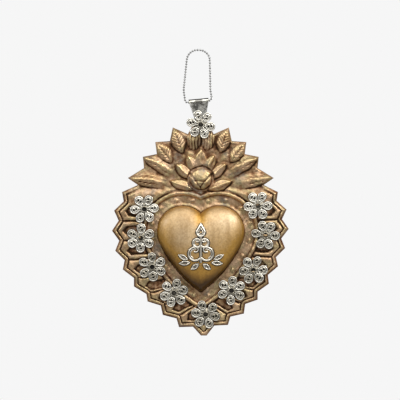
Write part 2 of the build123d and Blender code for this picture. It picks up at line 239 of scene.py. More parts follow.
def startMetal(name, look):
    # plain metal with its patina and its rubbed places; the per-point value that drives both also brings in painted
    # light and shade
    material = bpy.data.materials.new(name)
    material.use_nodes = True
    tree = material.node_tree
    shader = tree.nodes["Principled BSDF"]
    feed(tree, shader.inputs["Metallic"], look["metal"])
    feed(tree, shader.inputs["Specular Tint"], look["tint"])
    place = tree.nodes.new("ShaderNodeTexCoord").outputs["Object"]
    wearAndShading = addNode(tree, "ShaderNodeAttribute", attribute_name="wearAndShading").outputs["Fac"]
    patinaAndShade = useGroup(tree, "patinaAndShade", place, Rub=wearAndShading, Cloud_Size=look["cloudSize"], Clouds=look["clouds"],
                      Depth=look["depth"])
    bright = useGroup(tree, "rubbedAndHighlit", place, Rub=wearAndShading, Start=look["brightStart"], Ragged=look["ragged"])["Bright"]
    return material, tree, shader, place, patinaAndShade, bright


def finishMetal(tree, shader, look, colour, rough, hollow, height):
    # gloss that goes dull in the hollows, and the fine relief of the surface
    tree.links.new(colour, shader.inputs["Base Color"])
    dull = times(tree, hollow, look["hollowDull"])
    tree.links.new(mathNode(tree, "ADD", rough, dull), shader.inputs["Roughness"])
    bump = addNode(tree, "ShaderNodeBump", Strength=look["dent"], Distance=look["dentHeight"])
    tree.links.new(height, bump.inputs["Height"])
    tree.links.new(bump.outputs["Normal"], shader.inputs["Normal"])


sheetLook = {
    "gold": (0.755, 0.565, 0.295), "brown": (0.36, 0.225, 0.11), "copper": (0.565, 0.39, 0.25),
    "olive": (0.43, 0.355, 0.185), "slate": (0.19, 0.175, 0.155), "rustAndShade": (0.20, 0.085, 0.04),
    "dark": (0.042, 0.023, 0.011), "tint": (0.9, 0.73, 0.5), "metal": 0.85,
    "cloudSize": 150.0, "clouds": 0.5, "depth": 0.47, "brightStart": 0.55, "ragged": 0.35, "goldShare": 0.85,
    "stains": 0.75, "stainSizes": {"olive": (210.0, 0.47), "slate": (120.0, 0.55)}, "stainFade": 0.12,
    "grime": 0.36, "rustShare": 1.5, "darkPower": 1.8, "rough": 0.45, "rubbedShine": 0.12, "hollowDull": 0.35,
    "dentSize": 520.0, "dentGrain": 0.35, "dent": 0.3, "dentHeight": 0.0004,
}
backLook = dict(sheetLook, copper=(0.42, 0.27, 0.15), depth=0.4, dent=0.5, stains=0.3)


def sheetMaterial(name, look):
    material, tree, shader, place, patinaAndShade, bright = startMetal(name, look)
    colour = mixColour(tree, patinaAndShade["Cloud"], look["brown"], look["copper"])
    for stain, (size, start) in look["stainSizes"].items():
        blot = noise(tree, place, size, 3.0, 0.55)
        spots = edgeRamp(tree, blot, (start, start + look["stainFade"]), look["stains"])
        colour = mixColour(tree, spots, colour, look[stain])
    colour = mixColour(tree, times(tree, bright, look["goldShare"]), colour, look["gold"])
    colour = mixColour(tree, times(tree, patinaAndShade["Speck"], look["grime"]), colour, look["dark"])
    # rust and dark where the hollow mask is high: patina in the hollows, and on the front plate painted shade on the
    # crest's undersides, the bevel and round the heart's foot
    rustAndShadeMask = times(tree, patinaAndShade["Hollow"], look["rustShare"], clamp=True)
    colour = mixColour(tree, rustAndShadeMask, colour, look["rustAndShade"])
    colour = mixColour(tree, mathNode(tree, "POWER", patinaAndShade["Hollow"], look["darkPower"]), colour, look["dark"])
    rough = mathNode(tree, "SUBTRACT", look["rough"], times(tree, bright, look["rubbedShine"]))
    dents = useGroup(tree, "hammer", place, Dent_Size=look["dentSize"], Grain=look["dentGrain"])["Height"]
    finishMetal(tree, shader, look, colour, rough, patinaAndShade["Hollow"], dents)
    return material


heartLook = {
    "gold": (0.56, 0.325, 0.068), "pale": (0.72, 0.60, 0.43), "brown": (0.24, 0.12, 0.02), "dark": (0.1, 0.046, 0.008),
    "tint": (0.85, 0.66, 0.42), "metal": 1.0, "cloudSize": 42.0, "clouds": 0.55, "depth": 0.5,
    "brightStart": 0.56, "ragged": 0.16, "paleShare": 0.85, "strokeSize": 1500.0, "strokeStretch": 0.12,
    "streakEdges": (0.4, 0.68), "streak": 0.45, "grainSize": 1050.0, "grainEdges": (0.42, 0.68), "grain": 0.38,
    "specks": 0.12, "lacquer": 0.45, "lacquerRough": 0.28, "rough": 0.53, "strokeRough": 0.16, "hollowDull": 0.3,
    "dent": 0.05, "dentHeight": 0.0002,
}


def heartMaterial(name, look):
    material, tree, shader, place, patinaAndShade, bright = startMetal(name, look)
    strokes = useGroup(tree, "brushing", place, Fine=look["strokeSize"], Stretch=look["strokeStretch"])
    grain = noise(tree, place, look["grainSize"], 4.0, 0.65)
    # pale where the value is high: partly rubbed metal, partly a painted highlight whiter than the gold
    colour = mixColour(tree, times(tree, bright, look["paleShare"]), look["gold"], look["pale"])
    for mask in (edgeRamp(tree, strokes["Wide Stroke"], look["streakEdges"], look["streak"]),
                 edgeRamp(tree, grain, look["grainEdges"], look["grain"]),
                 times(tree, patinaAndShade["Speck"], look["specks"])):
        colour = mixColour(tree, mask, colour, look["brown"])
    # dark where the value is low: painted shade down the flanks, in the notch and at the rim, with clouds of patina
    colour = mixColour(tree, patinaAndShade["Hollow"], colour, look["dark"])
    feed(tree, shader.inputs["Coat Weight"], look["lacquer"])
    feed(tree, shader.inputs["Coat Roughness"], look["lacquerRough"])
    rough = mathNode(tree, "ADD", look["rough"], times(tree, strokes["Stroke"], look["strokeRough"]))
    finishMetal(tree, shader, look, colour, rough, patinaAndShade["Hollow"], strokes["Stroke"])
    return material


filigreeLook = {
    "white": (0.95, 0.925, 0.835), "grey": (0.36, 0.33, 0.26), "dark": (0.022, 0.02, 0.017), "tint": (1.0, 1.0, 1.0),
    "metal": 0.88, "cloudSize": 170.0, "clouds": 0.55, "depth": 0.42, "brightStart": 0.5, "ragged": 0.2,
    "mottleEdges": (0.36, 0.62), "mottle": 0.12, "specks": 0.2, "rough": 0.3, "hollowDull": 0.32,
    "dentSize": 1300.0, "dentGrain": 0.4, "dent": 0.14, "dentHeight": 0.0002,
}
sprigLook = dict(filigreeLook, white=(0.86, 0.81, 0.70), grey=(0.42, 0.36, 0.265), depth=0.4)
chainLook = dict(filigreeLook, white=(0.36, 0.36, 0.35), grey=(0.10, 0.10, 0.097), depth=0.4, rough=0.22)
bailLook = dict(filigreeLook, white=(0.93, 0.92, 0.87), grey=(0.46, 0.45, 0.385), depth=0.46, specks=0.3, mottle=0.7,
                cloudSize=330.0, clouds=0.9, dentSize=700.0, dent=0.5, rough=0.27)


def silverMaterial(name, look):
    material, tree, shader, place, patinaAndShade, bright = startMetal(name, look)
    colour = mixColour(tree, bright, look["grey"], look["white"])
    blots = times(tree, edgeRamp(tree, patinaAndShade["Cloud"], look["mottleEdges"]), look["mottle"])
    for mask in (blots, times(tree, patinaAndShade["Speck"], look["specks"]), patinaAndShade["Hollow"]):
        colour = mixColour(tree, mask, colour, look["dark"])
    dents = useGroup(tree, "hammer", place, Dent_Size=look["dentSize"], Grain=look["dentGrain"])["Height"]
    finishMetal(tree, shader, look, colour, look["rough"], patinaAndShade["Hollow"], dents)
    return material


materials = {
    "sheet": sheetMaterial("sheetPatinaAndShade", sheetLook),
    "back": sheetMaterial("backSheet", backLook),
    "heart": heartMaterial("satinHeart", heartLook),
    "filigree": silverMaterial("oxidisedFiligree", filigreeLook),
    "sprig": silverMaterial("sprigSilver", sprigLook),
    "chain": silverMaterial("beadSilver", chainLook),
    "bail": silverMaterial("bailSilver", bailLook),
}
print("materials made:", ", ".join(materials))


# Mesh helpers

def makePiece(name, points, faces, wearAndShading, body, finish, node, sharp=60):
    mesh = bpy.data.meshes.new(name)
    mesh.from_pydata(toWorld(points).tolist(), [], [tuple(int(i) for i in face) for face in faces])
    # per-point value of wear, which on the plate, heart, flowers and bail also carries painted light and shade
    mesh.attributes.new("wearAndShading", "FLOAT", "POINT").data.foreach_set("value", np.asarray(wearAndShading, np.float32))
    mesh.materials.append(materials[finish])
    mesh.polygons.foreach_set("use_smooth", [True] * len(mesh.polygons))
    mesh.set_sharp_from_angle(angle=math.radians(sharp))
    piece = bpy.data.objects.new(name, mesh)
    scene.collection.objects.link(piece)
    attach(piece, body)
    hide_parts(node)
    return piece


def joinParts(parts):
    points, faces, wearAndShadingParts, start = [], [], [], 0
    for partPoints, partFaces, partRub in parts:
        points.append(partPoints)
        faces += [[i + start for i in face] for face in partFaces]
        wearAndShadingParts.append(partRub)
        start += len(partPoints)
    return np.concatenate(points), faces, np.concatenate(wearAndShadingParts)


def ringFaces(first, second):
    # quads between two closed rows of points
    count = len(first)
    pairs = [(i, (i + 1) % count) for i in range(count)]
    return [[first[i], first[k], second[k], second[i]] for i, k in pairs]


def skin(rows):
    return [face for first, second in zip(rows, rows[1:]) for face in ringFaces(first, second)]


def row(start, count):
    return list(range(start, start + count))


wireWorn = {"front": (0.08, 0.85), "behind": (-0.55, -0.95), "behindShare": 0.6}


def tube(path, width, height=None, sides=8, closed=False, low=0.1, high=1.0):
    # wire along a path: rubbed towards the viewer and a little behind, dark at its sides
    path = np.asarray(path, float)
    count = len(path)
    height = width if height is None else height
    width = np.broadcast_to(np.asarray(width, float), count)
    height = np.broadcast_to(np.asarray(height, float), count)
    if closed:
        tangent = np.roll(path, -1, axis=0) - np.roll(path, 1, axis=0)
    else:
        tangent = np.gradient(path, axis=0)
    tangent /= np.linalg.norm(tangent, axis=1)[:, None]
    side = np.cross(tangent, [0, 0, 1.0])
    side /= np.linalg.norm(side, axis=1)[:, None]
    up = np.cross(side, tangent)
    turns = np.arange(sides) * 2 * math.pi / sides
    ring = np.cos(turns)[None, :, None] * side[:, None, :] * width[:, None, None]
    ring = ring + np.sin(turns)[None, :, None] * up[:, None, :] * height[:, None, None]
    points = (path[:, None, :] + ring).reshape(-1, 3)
    front, behind = (smoothStep(*wireWorn[side], np.sin(turns)) for side in ("front", "behind"))
    wearAndShading = np.tile(low + (high - low) * np.maximum(front, wireWorn["behindShare"] * behind), count)
    rows = [row(i * sides, sides) for i in range(count)]
    if closed:
        return points, skin(rows[:1] + rows[::-1]), wearAndShading
    return points, skin(rows[::-1]) + [rows[0], rows[-1][::-1]], wearAndShading


def lathe(profile, sides=20, low=0.15, high=1.0):
    # turned form about z; profile rows are radius, height, rub
    points, wearAndShading, rows = [], [], []
    for r, z, w in profile:
        spots = 1 if r == 0 else sides
        rows.append([len(points)] * sides if r == 0 else row(len(points), sides))
        for j in range(spots):
            turn = 2 * math.pi * j / sides
            points.append((r * math.cos(turn), r * math.sin(turn), z))
            wearAndShading.append(low + (high - low) * w)
    faces = [list(dict.fromkeys(quad)) for quad in skin(rows)]  # quads at a point become triangles
    return np.array(points), faces, np.array(wearAndShading)


def ball(at, radius, wearAndShading=0.9):
    # solder grain, brighter towards the viewer
    turns = np.linspace(0, math.pi, 7)
    profile = [(radius * math.sin(t), -radius * math.cos(t), 0.7 - 0.3 * math.cos(t)) for t in turns]
    profile[0] = (0, -radius, 0.3)
    profile[-1] = (0, radius, 1.0)
    points, faces, shade = lathe(profile, 10)
    return points + np.asarray(at, float), faces, shade * wearAndShading


def turned(points, degrees):
    c, s = math.cos(math.radians(degrees)), math.sin(math.radians(degrees))
    p = np.asarray(points, float).copy()
    p[:, 0], p[:, 1] = c * p[:, 0] - s * p[:, 1], s * p[:, 0] + c * p[:, 1]
    return p


# Outlines

heart = {
    "lobeX": 9.0, "lobeY": 9.2, "lobe": 12.8, "lobeEnd": -25, "lobeRuns": 48, "flankRuns": 30,
    "tip": -21.0, "tipShare": 1.3, "middle": 3.5, "height": 8.6, "rings": 44, "round": 2.3, "crown": 2.5, "sunk": 0.3,
}


def heartLoop(grow=0.0):
    # a round lobe that runs smoothly into the flank, and its mirror image
    radius = heart["lobe"] + grow
    start = math.acos(-heart["lobeX"] / radius)
    turns = np.linspace(start, math.radians(heart["lobeEnd"]), heart["lobeRuns"] + 1)
    lobe = np.stack([heart["lobeX"] + radius * np.cos(turns), heart["lobeY"] + radius * np.sin(turns)], axis=1)
    leave = np.array([math.sin(turns[-1]), -math.cos(turns[-1])])
    tip = np.array([0, heart["tip"] - heart["tipShare"] * grow])
    chord = tip - lobe[-1]
    reach = np.hypot(*chord)
    cross = leave[0] * chord[1] - leave[1] * chord[0]
    bend = math.asin(abs(cross) / reach)
    way = math.copysign(1, cross)
    arcRadius = reach / (2 * math.sin(bend))
    centre = lobe[-1] + arcRadius * way * np.array([-leave[1], leave[0]])
    x, y = lobe[-1] - centre
    flank = []
    for t in np.linspace(0, 2 * bend, heart["flankRuns"] + 1)[1:]:
        c, s = math.cos(way * t), math.sin(way * t)
        flank.append(centre + np.array([c * x - s * y, s * x + c * y]))
    half = np.concatenate([lobe, np.array(flank)])
    return np.concatenate([half, half[-2:0:-1] * [-1, 1]])


def backOutline(node):
    # corners of the plate's edge, read from the back face of the solid
    mesh = nodes[node].data
    spots = [(round(v.co.x * 1e5), round(v.co.z * 1e5)) for v in mesh.vertices]
    level = max(v.co.y for v in mesh.vertices) - 1e-6
    seen = {}
    for face in mesh.polygons:
        ring = list(face.vertices)
        if min(mesh.vertices[i].co.y for i in ring) > level:
            for a, b in zip(ring, ring[1:] + ring[:1]):
                edge = frozenset((spots[a], spots[b]))
                seen[edge] = seen.get(edge, 0) + 1
    links = {}
    for edge, count in seen.items():
        if count == 1 and len(edge) == 2:
            a, b = edge
            links.setdefault(a, []).append(b)
            links.setdefault(b, []).append(a)
    start = min(links, key=lambda spot: spot[1])
    walk = [start, max(links[start])]
    while True:
        nextSpots = [spot for spot in links[walk[-1]] if spot != walk[-2]]
        if not nextSpots or nextSpots[0] == start:
            break
        walk.append(nextSpots[0])
    loop = np.array(walk, float) / 100
    loop[:, 1] -= lift * 1000
    return loop


def insetLoop(loop, inset):
    # every corner moved in along its mitre; the loop runs anticlockwise
    arriving = loop - np.roll(loop, 1, axis=0)
    leaving = np.roll(loop, -1, axis=0) - loop
    arriving /= np.linalg.norm(arriving, axis=1)[:, None]
    leaving /= np.linalg.norm(leaving, axis=1)[:, None]
    a = np.stack([-arriving[:, 1], arriving[:, 0]], axis=1)
    b = np.stack([-leaving[:, 1], leaving[:, 0]], axis=1)
    return loop + (a + b) * (inset / (1 + (a * b).sum(axis=1)))[:, None]


def spreadLoop(loop, counts):
    spots = []
    for at, after, count in zip(loop, np.roll(loop, -1, axis=0), counts):
        spots += [at + (after - at) * t for t in np.arange(count) / count]
    return np.array(spots)


def lineDistance(gx, gy, line):
    best = np.full(gx.shape, np.inf)
    for (ax, ay), (bx, by) in zip(line, line[1:]):
        dx, dy = bx - ax, by - ay
        t = np.clip(((gx - ax) * dx + (gy - ay) * dy) / (dx * dx + dy * dy), 0, 1)
        best = np.minimum(best, np.hypot(gx - ax - t * dx, gy - ay - t * dy))
    return best


def loopDistance(gx, gy, loop):
    return lineDistance(gx, gy, np.concatenate([loop, loop[:1]]))


def insideLoop(gx, gy, loop):
    inside = np.zeros(gx.shape, bool)
    for (ax, ay), (bx, by) in zip(loop, np.roll(loop, -1, axis=0)):
        if ay != by:
            crossing = (ay > gy) != (by > gy)
            inside ^= crossing & (gx < ax + (gy - ay) * (bx - ax) / (by - ay))
    return inside


plateLoop = backOutline("front_plate")
heartEdge = heartLoop()
print("plate outline read:", len(plateLoop), "corners")


# Worked front plate: one relief over the whole sheet

relief = {
    "raster": 0.2, "rasterX": (-47, 47.1), "rasterY": (-46, 69.1), "soften": 0.2, "wander": 0.11, "hammer": 0.0075,
    "meshStep": 0.33, "meshX": (-46, 46), "meshY": (-44, 68), "rowShare": 0.866, "rimClear": 0.6, "shoulder": 30.0,
    "ridgeAt": 1.4, "ridgeHalf": 0.42, "ridgeRise": 0.75, "grooveAt": 2.1, "grooveHalf": 0.4, "grooveDepth": 0.6,
    "flangeAt": 0.85, "flangeHalf": 0.3, "flangeDepth": 0.35, "fallWidth": 0.8, "fallPower": 1.4,
    "bandStart": 2.3, "bandRise": 1.05, "bandRound": 1.25, "bandEnd": 14.0, "bandHalf": 5.4, "toothApart": 16.0,
    "trenchHalf": 0.2, "hatchPitch": 1.5, "hatchSlant": 1.3, "hatchDepth": 0.1, "noneNear": 9.0,
    "pocketStart": 5.8, "pocketHalf": 2.25, "pocketPoint": 0.95, "pocketEase": 0.72, "pocketDepth": 0.6,
    "pocketLine": 0.35, "pocketFloor": 0.3, "frameAt": 6.5, "frameHalf": 1.05, "frameRise": 0.95,
    "frameLineAt": 7.8, "frameLineHalf": 0.5, "frameLineDepth": 0.25, "channelDip": 0.2,
    "lipAt": 0.75, "lipHalf": 0.75, "lipRise": 0.3,
    "bossAt": 3.2, "bossRadius": 1.05, "bossRise": 0.5, "bossSunk": 0.2, "bossesPerSide": 9,
}
crest = {
    "foot": 28.0, "leafWidth": 6.9, "leafRise": 2.1, "leafPower": 2.3,
    "veined": [((13.4, 60.4), (9.3, 48.4)), ((21.9, 53.4), (14.6, 43.8))],
    "veinPitch": 1.7, "veinSlant": 0.9, "veinDepth": 0.55, "ribHalf": 0.3, "ribDepth": 0.6,
    "straps": [((28.4, 46.0), (13.4, 37.2)), ((35.6, 36.0), (15.6, 31.4))],
    "strapArch": 1.1, "folds": [(0.24, 0.45, 0.6), (-0.2, 0.4, 0.42)],  # place across, half width, depth
    "strokePitch": 2.5, "strokeSlant": 1.6, "strokeDepth": 0.5,
    "petals": [((15.4, 34.6), (3.5, 30.3)), ((12.6, 43.2), (4.2, 35.5)), ((6.7, 47.6), (2.0, 38.0))],
    "topPetal": ((0, 51.0), (0, 38.0)), "topWidth": 6.6, "petalWidth": 5.4, "petalRise": 2.4,
    "keel": 0.28, "keelHalf": 0.7, "petalLip": 0.28, "petalLipAt": 0.78, "petalLipHalf": 0.13,
    "budAt": (0, 35.6), "budRadius": 6.7, "budRise": 3.2, "budFoot": 0.6, "seamDepth": 0.6, "footShadowHalf": 0.38,
    "budLip": 0.3, "budLipIn": 0.5, "budLipHalf": 0.35, "budLine": 0.48, "budLineIn": 1.2, "budLineHalf": 0.32,
    "budGroove": 0.24, "budGrooveHalf": 0.4,
    "tulipAt": (3.35, 55.2), "tulipSize": (3.5, 4.9), "tulipRise": 1.5, "flutePitch": 1.45, "fluteDepth": 0.6,
}
gridX, gridY = np.meshgrid(*(np.arange(*relief[side], relief["raster"]) for side in ("rasterX", "rasterY")))


def wandered(x, y):
    # slow drift of the tools by a few tenths of a mm
    drift = np.zeros((2,) + x.shape)
    for wave in (31.0, 17.0, 9.0, 5.5):
        for axis in (0, 1):
            turn, phase = rng.uniform(0, 2 * math.pi, 2)
            drift[axis] += np.sin((x * math.cos(turn) + y * math.sin(turn)) * 2 * math.pi / wave + phase)
    return x + relief["wander"] * drift[0], y + relief["wander"] * drift[1]


handX, handY = wandered(gridX, gridY)


def hammered():
    # uneven ground that the planishing hammer leaves
    field = np.zeros(gridX.shape)
    for wave in (9.0, 6.1, 4.3, 3.1, 2.3, 1.7):
        for turn in rng.uniform(0, 2 * math.pi, 3):
            phase = rng.uniform(0, 2 * math.pi)
            across = handX * math.cos(turn) + handY * math.sin(turn)
            field += wave * np.sin(across * 2 * math.pi / wave + phase)
    return relief["hammer"] * field


def alongAcross(at, way):
    # the sheet seen from a place and a direction on it
    x, y = handX - at[0], handY - at[1]
    return x * way[0] + y * way[1], y * way[0] - x * way[1]


def toothAxes(loop):
    # tip and inward direction of every tooth under the shoulders; the blunt toe has two corners
    count = len(loop)
    out = []
    for i in range(count):
        before, tip, after = loop[i - 1], loop[i], loop[(i + 1) % count]
        turn = (tip[0] - before[0]) * (after[1] - tip[1]) - (tip[1] - before[1]) * (after[0] - tip[0])
        out.append(turn > 0 and tip[1] < relief["shoulder"] - 1.5)
    axes = []
    for i in range(count):
        if out[i] and not out[i - 1]:
            last = (i + 1) % count if out[(i + 1) % count] else i
            tip = (loop[i] + loop[last]) / 2
            inward = (loop[i - 1] + loop[(last + 1) % count]) / 2 - tip
            axes.append((tip, inward / np.hypot(*inward)))
    return axes


def borderHeight(edge, toHeart):
    # ridge and groove along the teeth, then a raised band round the pocket of each tooth
    f = relief
    toothed = smoothStep(f["shoulder"] + 2, f["shoulder"] - 2.5, gridY)
    outside = smoothStep(f["frameAt"] + 0.2, f["frameAt"] + 2.0, toHeart)
    toEdge = edge - f["bandStart"]
    toTrench = np.full(gridX.shape, f["noneNear"])
    toPocket = np.full(gridX.shape, f["noneNear"])
    hatch = np.zeros(gridX.shape)
    axes = toothAxes(plateLoop)
    for i, (tip, way) in enumerate(axes):
        u, v = alongAcross(tip, way)
        v = np.abs(v)
        near = (u > 0) & (u < f["bandEnd"] + 2) & (v < f["bandHalf"])
        u, v = u[near], v[near]
        point = f["pocketEase"] * (u - f["pocketStart"] - f["pocketPoint"] * v)
        toPocket[near] = np.minimum(toPocket[near], -np.minimum(f["pocketHalf"] - v, point))
        hatch[near] = lines(u + f["hatchSlant"] * v, f["hatchPitch"], i)
        after, afterWay = axes[(i + 1) % len(axes)]
        if np.hypot(*(after - tip)) < f["toothApart"]:
            start = (tip + after) / 2
            inward = (way + afterWay) / np.hypot(*(way + afterWay))
            trench = lineDistance(handX, handY, [start, start + inward * f["bandEnd"]])
            toTrench = np.minimum(toTrench, trench - f["trenchHalf"])
    away = np.clip(np.minimum(np.minimum(toEdge, toTrench), toPocket) / f["bandRound"], 0, 1)
    band = f["bandRise"] * np.sqrt(1 - (1 - away) ** 2) - f["hatchDepth"] * hatch * away
    outline = (1 - f["pocketFloor"]) * bell(-toPocket - f["pocketLine"], f["pocketLine"])
    sunk = f["pocketDepth"] * (outline + f["pocketFloor"]) * smoothStep(0, 0.2, -toPocket)
    height = roll(edge - f["ridgeAt"], f["ridgeHalf"], f["ridgeRise"])
    height -= roll(edge - f["grooveAt"], f["grooveHalf"], f["grooveDepth"])
    height -= roll(edge - f["flangeAt"], f["flangeHalf"], f["flangeDepth"])
    inside = smoothStep(-0.2, 0.1, toEdge) * outside
    return (height * (1 - inside) + (band - sunk) * inside) * toothed


def leafShape(tip, root, width, arch=0.0):
    # place in a pointed oval: -1 at its root to 1 at its tip, the way across in mm and the half width there
    tip, root = np.array(tip, float), np.array(root, float)
    along = (tip - root) / 2
    length = np.hypot(*along)
    u, v = alongAcross((tip + root) / 2, along / length)
    u = u / length
    v = v - arch * math.copysign(1, tip[0]) * taper(u, 2)
    return u, v, width / 2 * taper(u, crest["leafPower"]), length


def veinedLeaf(tip, root):
    c = crest
    u, v, half, length = leafShape(tip, root, c["leafWidth"])
    across = taper(v / (half + 1e-6), 2)
    body = c["leafRise"] * across**0.55 * taper(u, 5) ** 0.5
    veins = lines(u * length - c["veinSlant"] * np.abs(v), c["veinPitch"]) ** 2
    body -= (c["veinDepth"] * veins + c["ribDepth"] * bell(v, c["ribHalf"])) * across**0.4
    return np.where(across > 0, np.maximum(body, 0), 0)


def strapLeaf(tip, root):
    # folded strap with hatched flanks that rises out of the sheet towards its tip
    c = crest
    u, v, _, length = leafShape(tip, root, c["leafWidth"], c["strapArch"])
    upper = v * math.copysign(1, tip[0])
    half = c["leafWidth"] / 2 * np.where(u > 0, taper(u, 2.6), 1 - 0.25 * u * u)
    t = upper / (half + 1e-6)
    slope = np.where(t > 0, taper(t, 1.6) ** 1.1, np.sqrt(taper(t, 2)))
    cut = sum(depth * bell(upper - at * c["leafWidth"], reach) for at, reach, depth in c["folds"])
    strokes = lines(u * length + c["strokeSlant"] * upper, c["strokePitch"]) * smoothStep(-0.35, 0.2, u)
    strokes *= smoothStep(0.12, 0.4, np.abs(t + 0.05)) * smoothStep(1.0, 0.8, np.abs(t))
    body = slope * (c["leafRise"] - cut - c["strokeDepth"] * strokes) * smoothStep(-1.02, 0.15, u)
    return np.where((np.abs(t) < 1) & (np.abs(u) < 1.02), np.maximum(body, 0), 0)


def petalHeight(tip, root, width):
    # lotus petal with a lifted edge and a soft keel
    c = crest
    u, v, half, _ = leafShape(tip, root, width)
    t = np.abs(v) / (half + 1e-6)
    body = c["petalRise"] * taper(t, 2.2) ** 0.6 * (1 - c["keel"] + c["keel"] * taper(v / c["keelHalf"], 1))
    body += c["petalLip"] * bell(t - c["petalLipAt"], c["petalLipHalf"])
    return np.where(t < 1, body * taper(u, 6) ** 0.4, 0)


def bothSides(places):
    for tip, root in places:
        yield tip, root
        yield (-tip[0], tip[1]), (-root[0], root[1])


def crestHeight():
    c = crest
    forms = [veinedLeaf(*place) for place in bothSides(c["veined"])]
    forms += [strapLeaf(*place) for place in bothSides(c["straps"])]
    forms += [petalHeight(*place, c["petalWidth"]) for place in bothSides(c["petals"])]
    forms.append(petalHeight(*c["topPetal"], c["topWidth"]))
    for side in (-1, 1):
        x = (handX - side * c["tulipAt"][0]) / c["tulipSize"][0]
        y = (handY - c["tulipAt"][1]) / c["tulipSize"][1]
        cup = roll(np.hypot(x, y), 1, c["tulipRise"])
        forms.append(cup - c["fluteDepth"] * lines(handX, c["flutePitch"]) * (cup > 0.1))
    return np.maximum(np.max(forms, axis=0), 0)


def budHeight():
    # closed bud of the lotus with the seams of its petals, and the groove round it
    c = crest
    r, rise = c["budRadius"], c["budRise"]
    x, y = handX - c["budAt"][0], handY - c["budAt"][1]
    sphere = (r * r + rise * rise) / (2 * rise)
    bud = np.sqrt(np.clip(sphere**2 - x * x - y * y, 0, None)) - (sphere - rise)
    left, right, low = (-0.36, -0.16), (0.28, -0.16), (0, -0.6)
    for seam in ([(-0.8, 0.32), left, right, (0.8, 0.4)], [left, low, right], [low, (0.03, -0.84)]):
        bud -= c["seamDepth"] * bell(lineDistance(x, y, np.array(seam) * r), c["footShadowHalf"])
    rim = np.hypot(x, y) - r
    bud += c["budLip"] * bell(rim + c["budLipIn"], c["budLipHalf"])
    bud -= c["budLine"] * bell(rim + c["budLineIn"], c["budLineHalf"])
    return np.where(rim < 0, bud, 0), c["budGroove"] * bell(rim, c["budGrooveHalf"])


def blurred(field, reach):
    steps = np.arange(-3 * reach, 3 * reach + relief["raster"], relief["raster"])
    kernel = np.exp(-0.5 * (steps / reach) ** 2)
    kernel /= kernel.sum()
    pad = len(kernel) // 2
    for axis in (0, 1):
        widths = [(pad, pad) if n == axis else (0, 0) for n in (0, 1)]
        padded = np.pad(field, widths, mode="edge")
        spots = np.arange(field.shape[axis])
        field = sum(k * np.take(padded, spots + i, axis=axis) for i, k in enumerate(kernel))
    return field


def bossPlaces():
    loop = heartLoop(relief["bossAt"])
    ring = np.concatenate([loop, loop[:1]])
    walked = np.concatenate([[0], np.cumsum(np.hypot(*np.diff(ring, axis=0).T))])
    count = 2 * relief["bossesPerSide"]
    for i in range(count):
        at = walked[-1] * (i + 0.5) / count
        yield np.interp(at, walked, ring[:, 0]), np.interp(at, walked, ring[:, 1])


def plateHeight(edge, toHeart):
    # height over the ground of the sheet in mm
    f = relief
    height = np.maximum(borderHeight(edge, toHeart), crestHeight())
    bud, budGroove = budHeight()
    grooved = height - np.where(gridY > crest["foot"], budGroove, 0)
    height = np.where(bud > 0, np.maximum(bud, crest["budFoot"]), grooved)
    frameLine = roll(toHeart - f["frameAt"], f["frameHalf"], f["frameRise"])
    height = np.where(frameLine > 0, np.maximum(height, frameLine), height)
    height -= f["channelDip"] * smoothStep(0.2, 1.2, toHeart) * smoothStep(5.6, 4.6, toHeart)
    height -= f["frameLineDepth"] * bell(toHeart - f["frameLineAt"], f["frameLineHalf"])
    height += roll(toHeart - f["lipAt"], f["lipHalf"], f["lipRise"])
    for x, y in bossPlaces():
        boss = roll(np.hypot(handX - x, handY - y), f["bossRadius"], f["bossRise"])
        height = np.maximum(height, boss - f["bossSunk"])
    height = blurred(height, f["soften"]) + hammered()
    fall = taper(edge / f["fallWidth"], 1) ** f["fallPower"]
    return height * (1 - fall) - bench["bevelDrop"] * fall


# wear of the worked sheet, with painted light and shade on the crest's slopes, the bevel and round the heart's foot
plateWearAndShade = {
    "ground": 0.395, "broad": 0.24, "broadReach": 1.4, "fine": 1.35, "fineReach": 0.5, "fineSpan": (-0.24, 0.15),
    "crestY": (26, 31), "crest": 0.085, "crestBroad": 0.6, "crestSpan": (0.05, -0.04), "crestLines": 0.62,
    "raised": 0.035, "raisedReach": 3.2, "under": 0.19, "underMiddle": 0.41, "underSlope": (-0.35, 0.45),
    "underReach": 0.35, "wings": 0.075, "wingsX": (18, 32), "top": 0.06, "topY": (45, 51),
    "edge": 0.3, "crestEdge": 0.1, "edgeWidth": (0.95, 0.55), "channel": 0.1, "channelCalm": 0.55,
    "seam": 0.24, "footShadowHalf": 0.4, "footShadowBelow": 0.08, "footShadowBelowHalf": 0.35, "lowY": (8, -6),
    "rim": (0.42, 0.6, 0.45, 0.2),
}


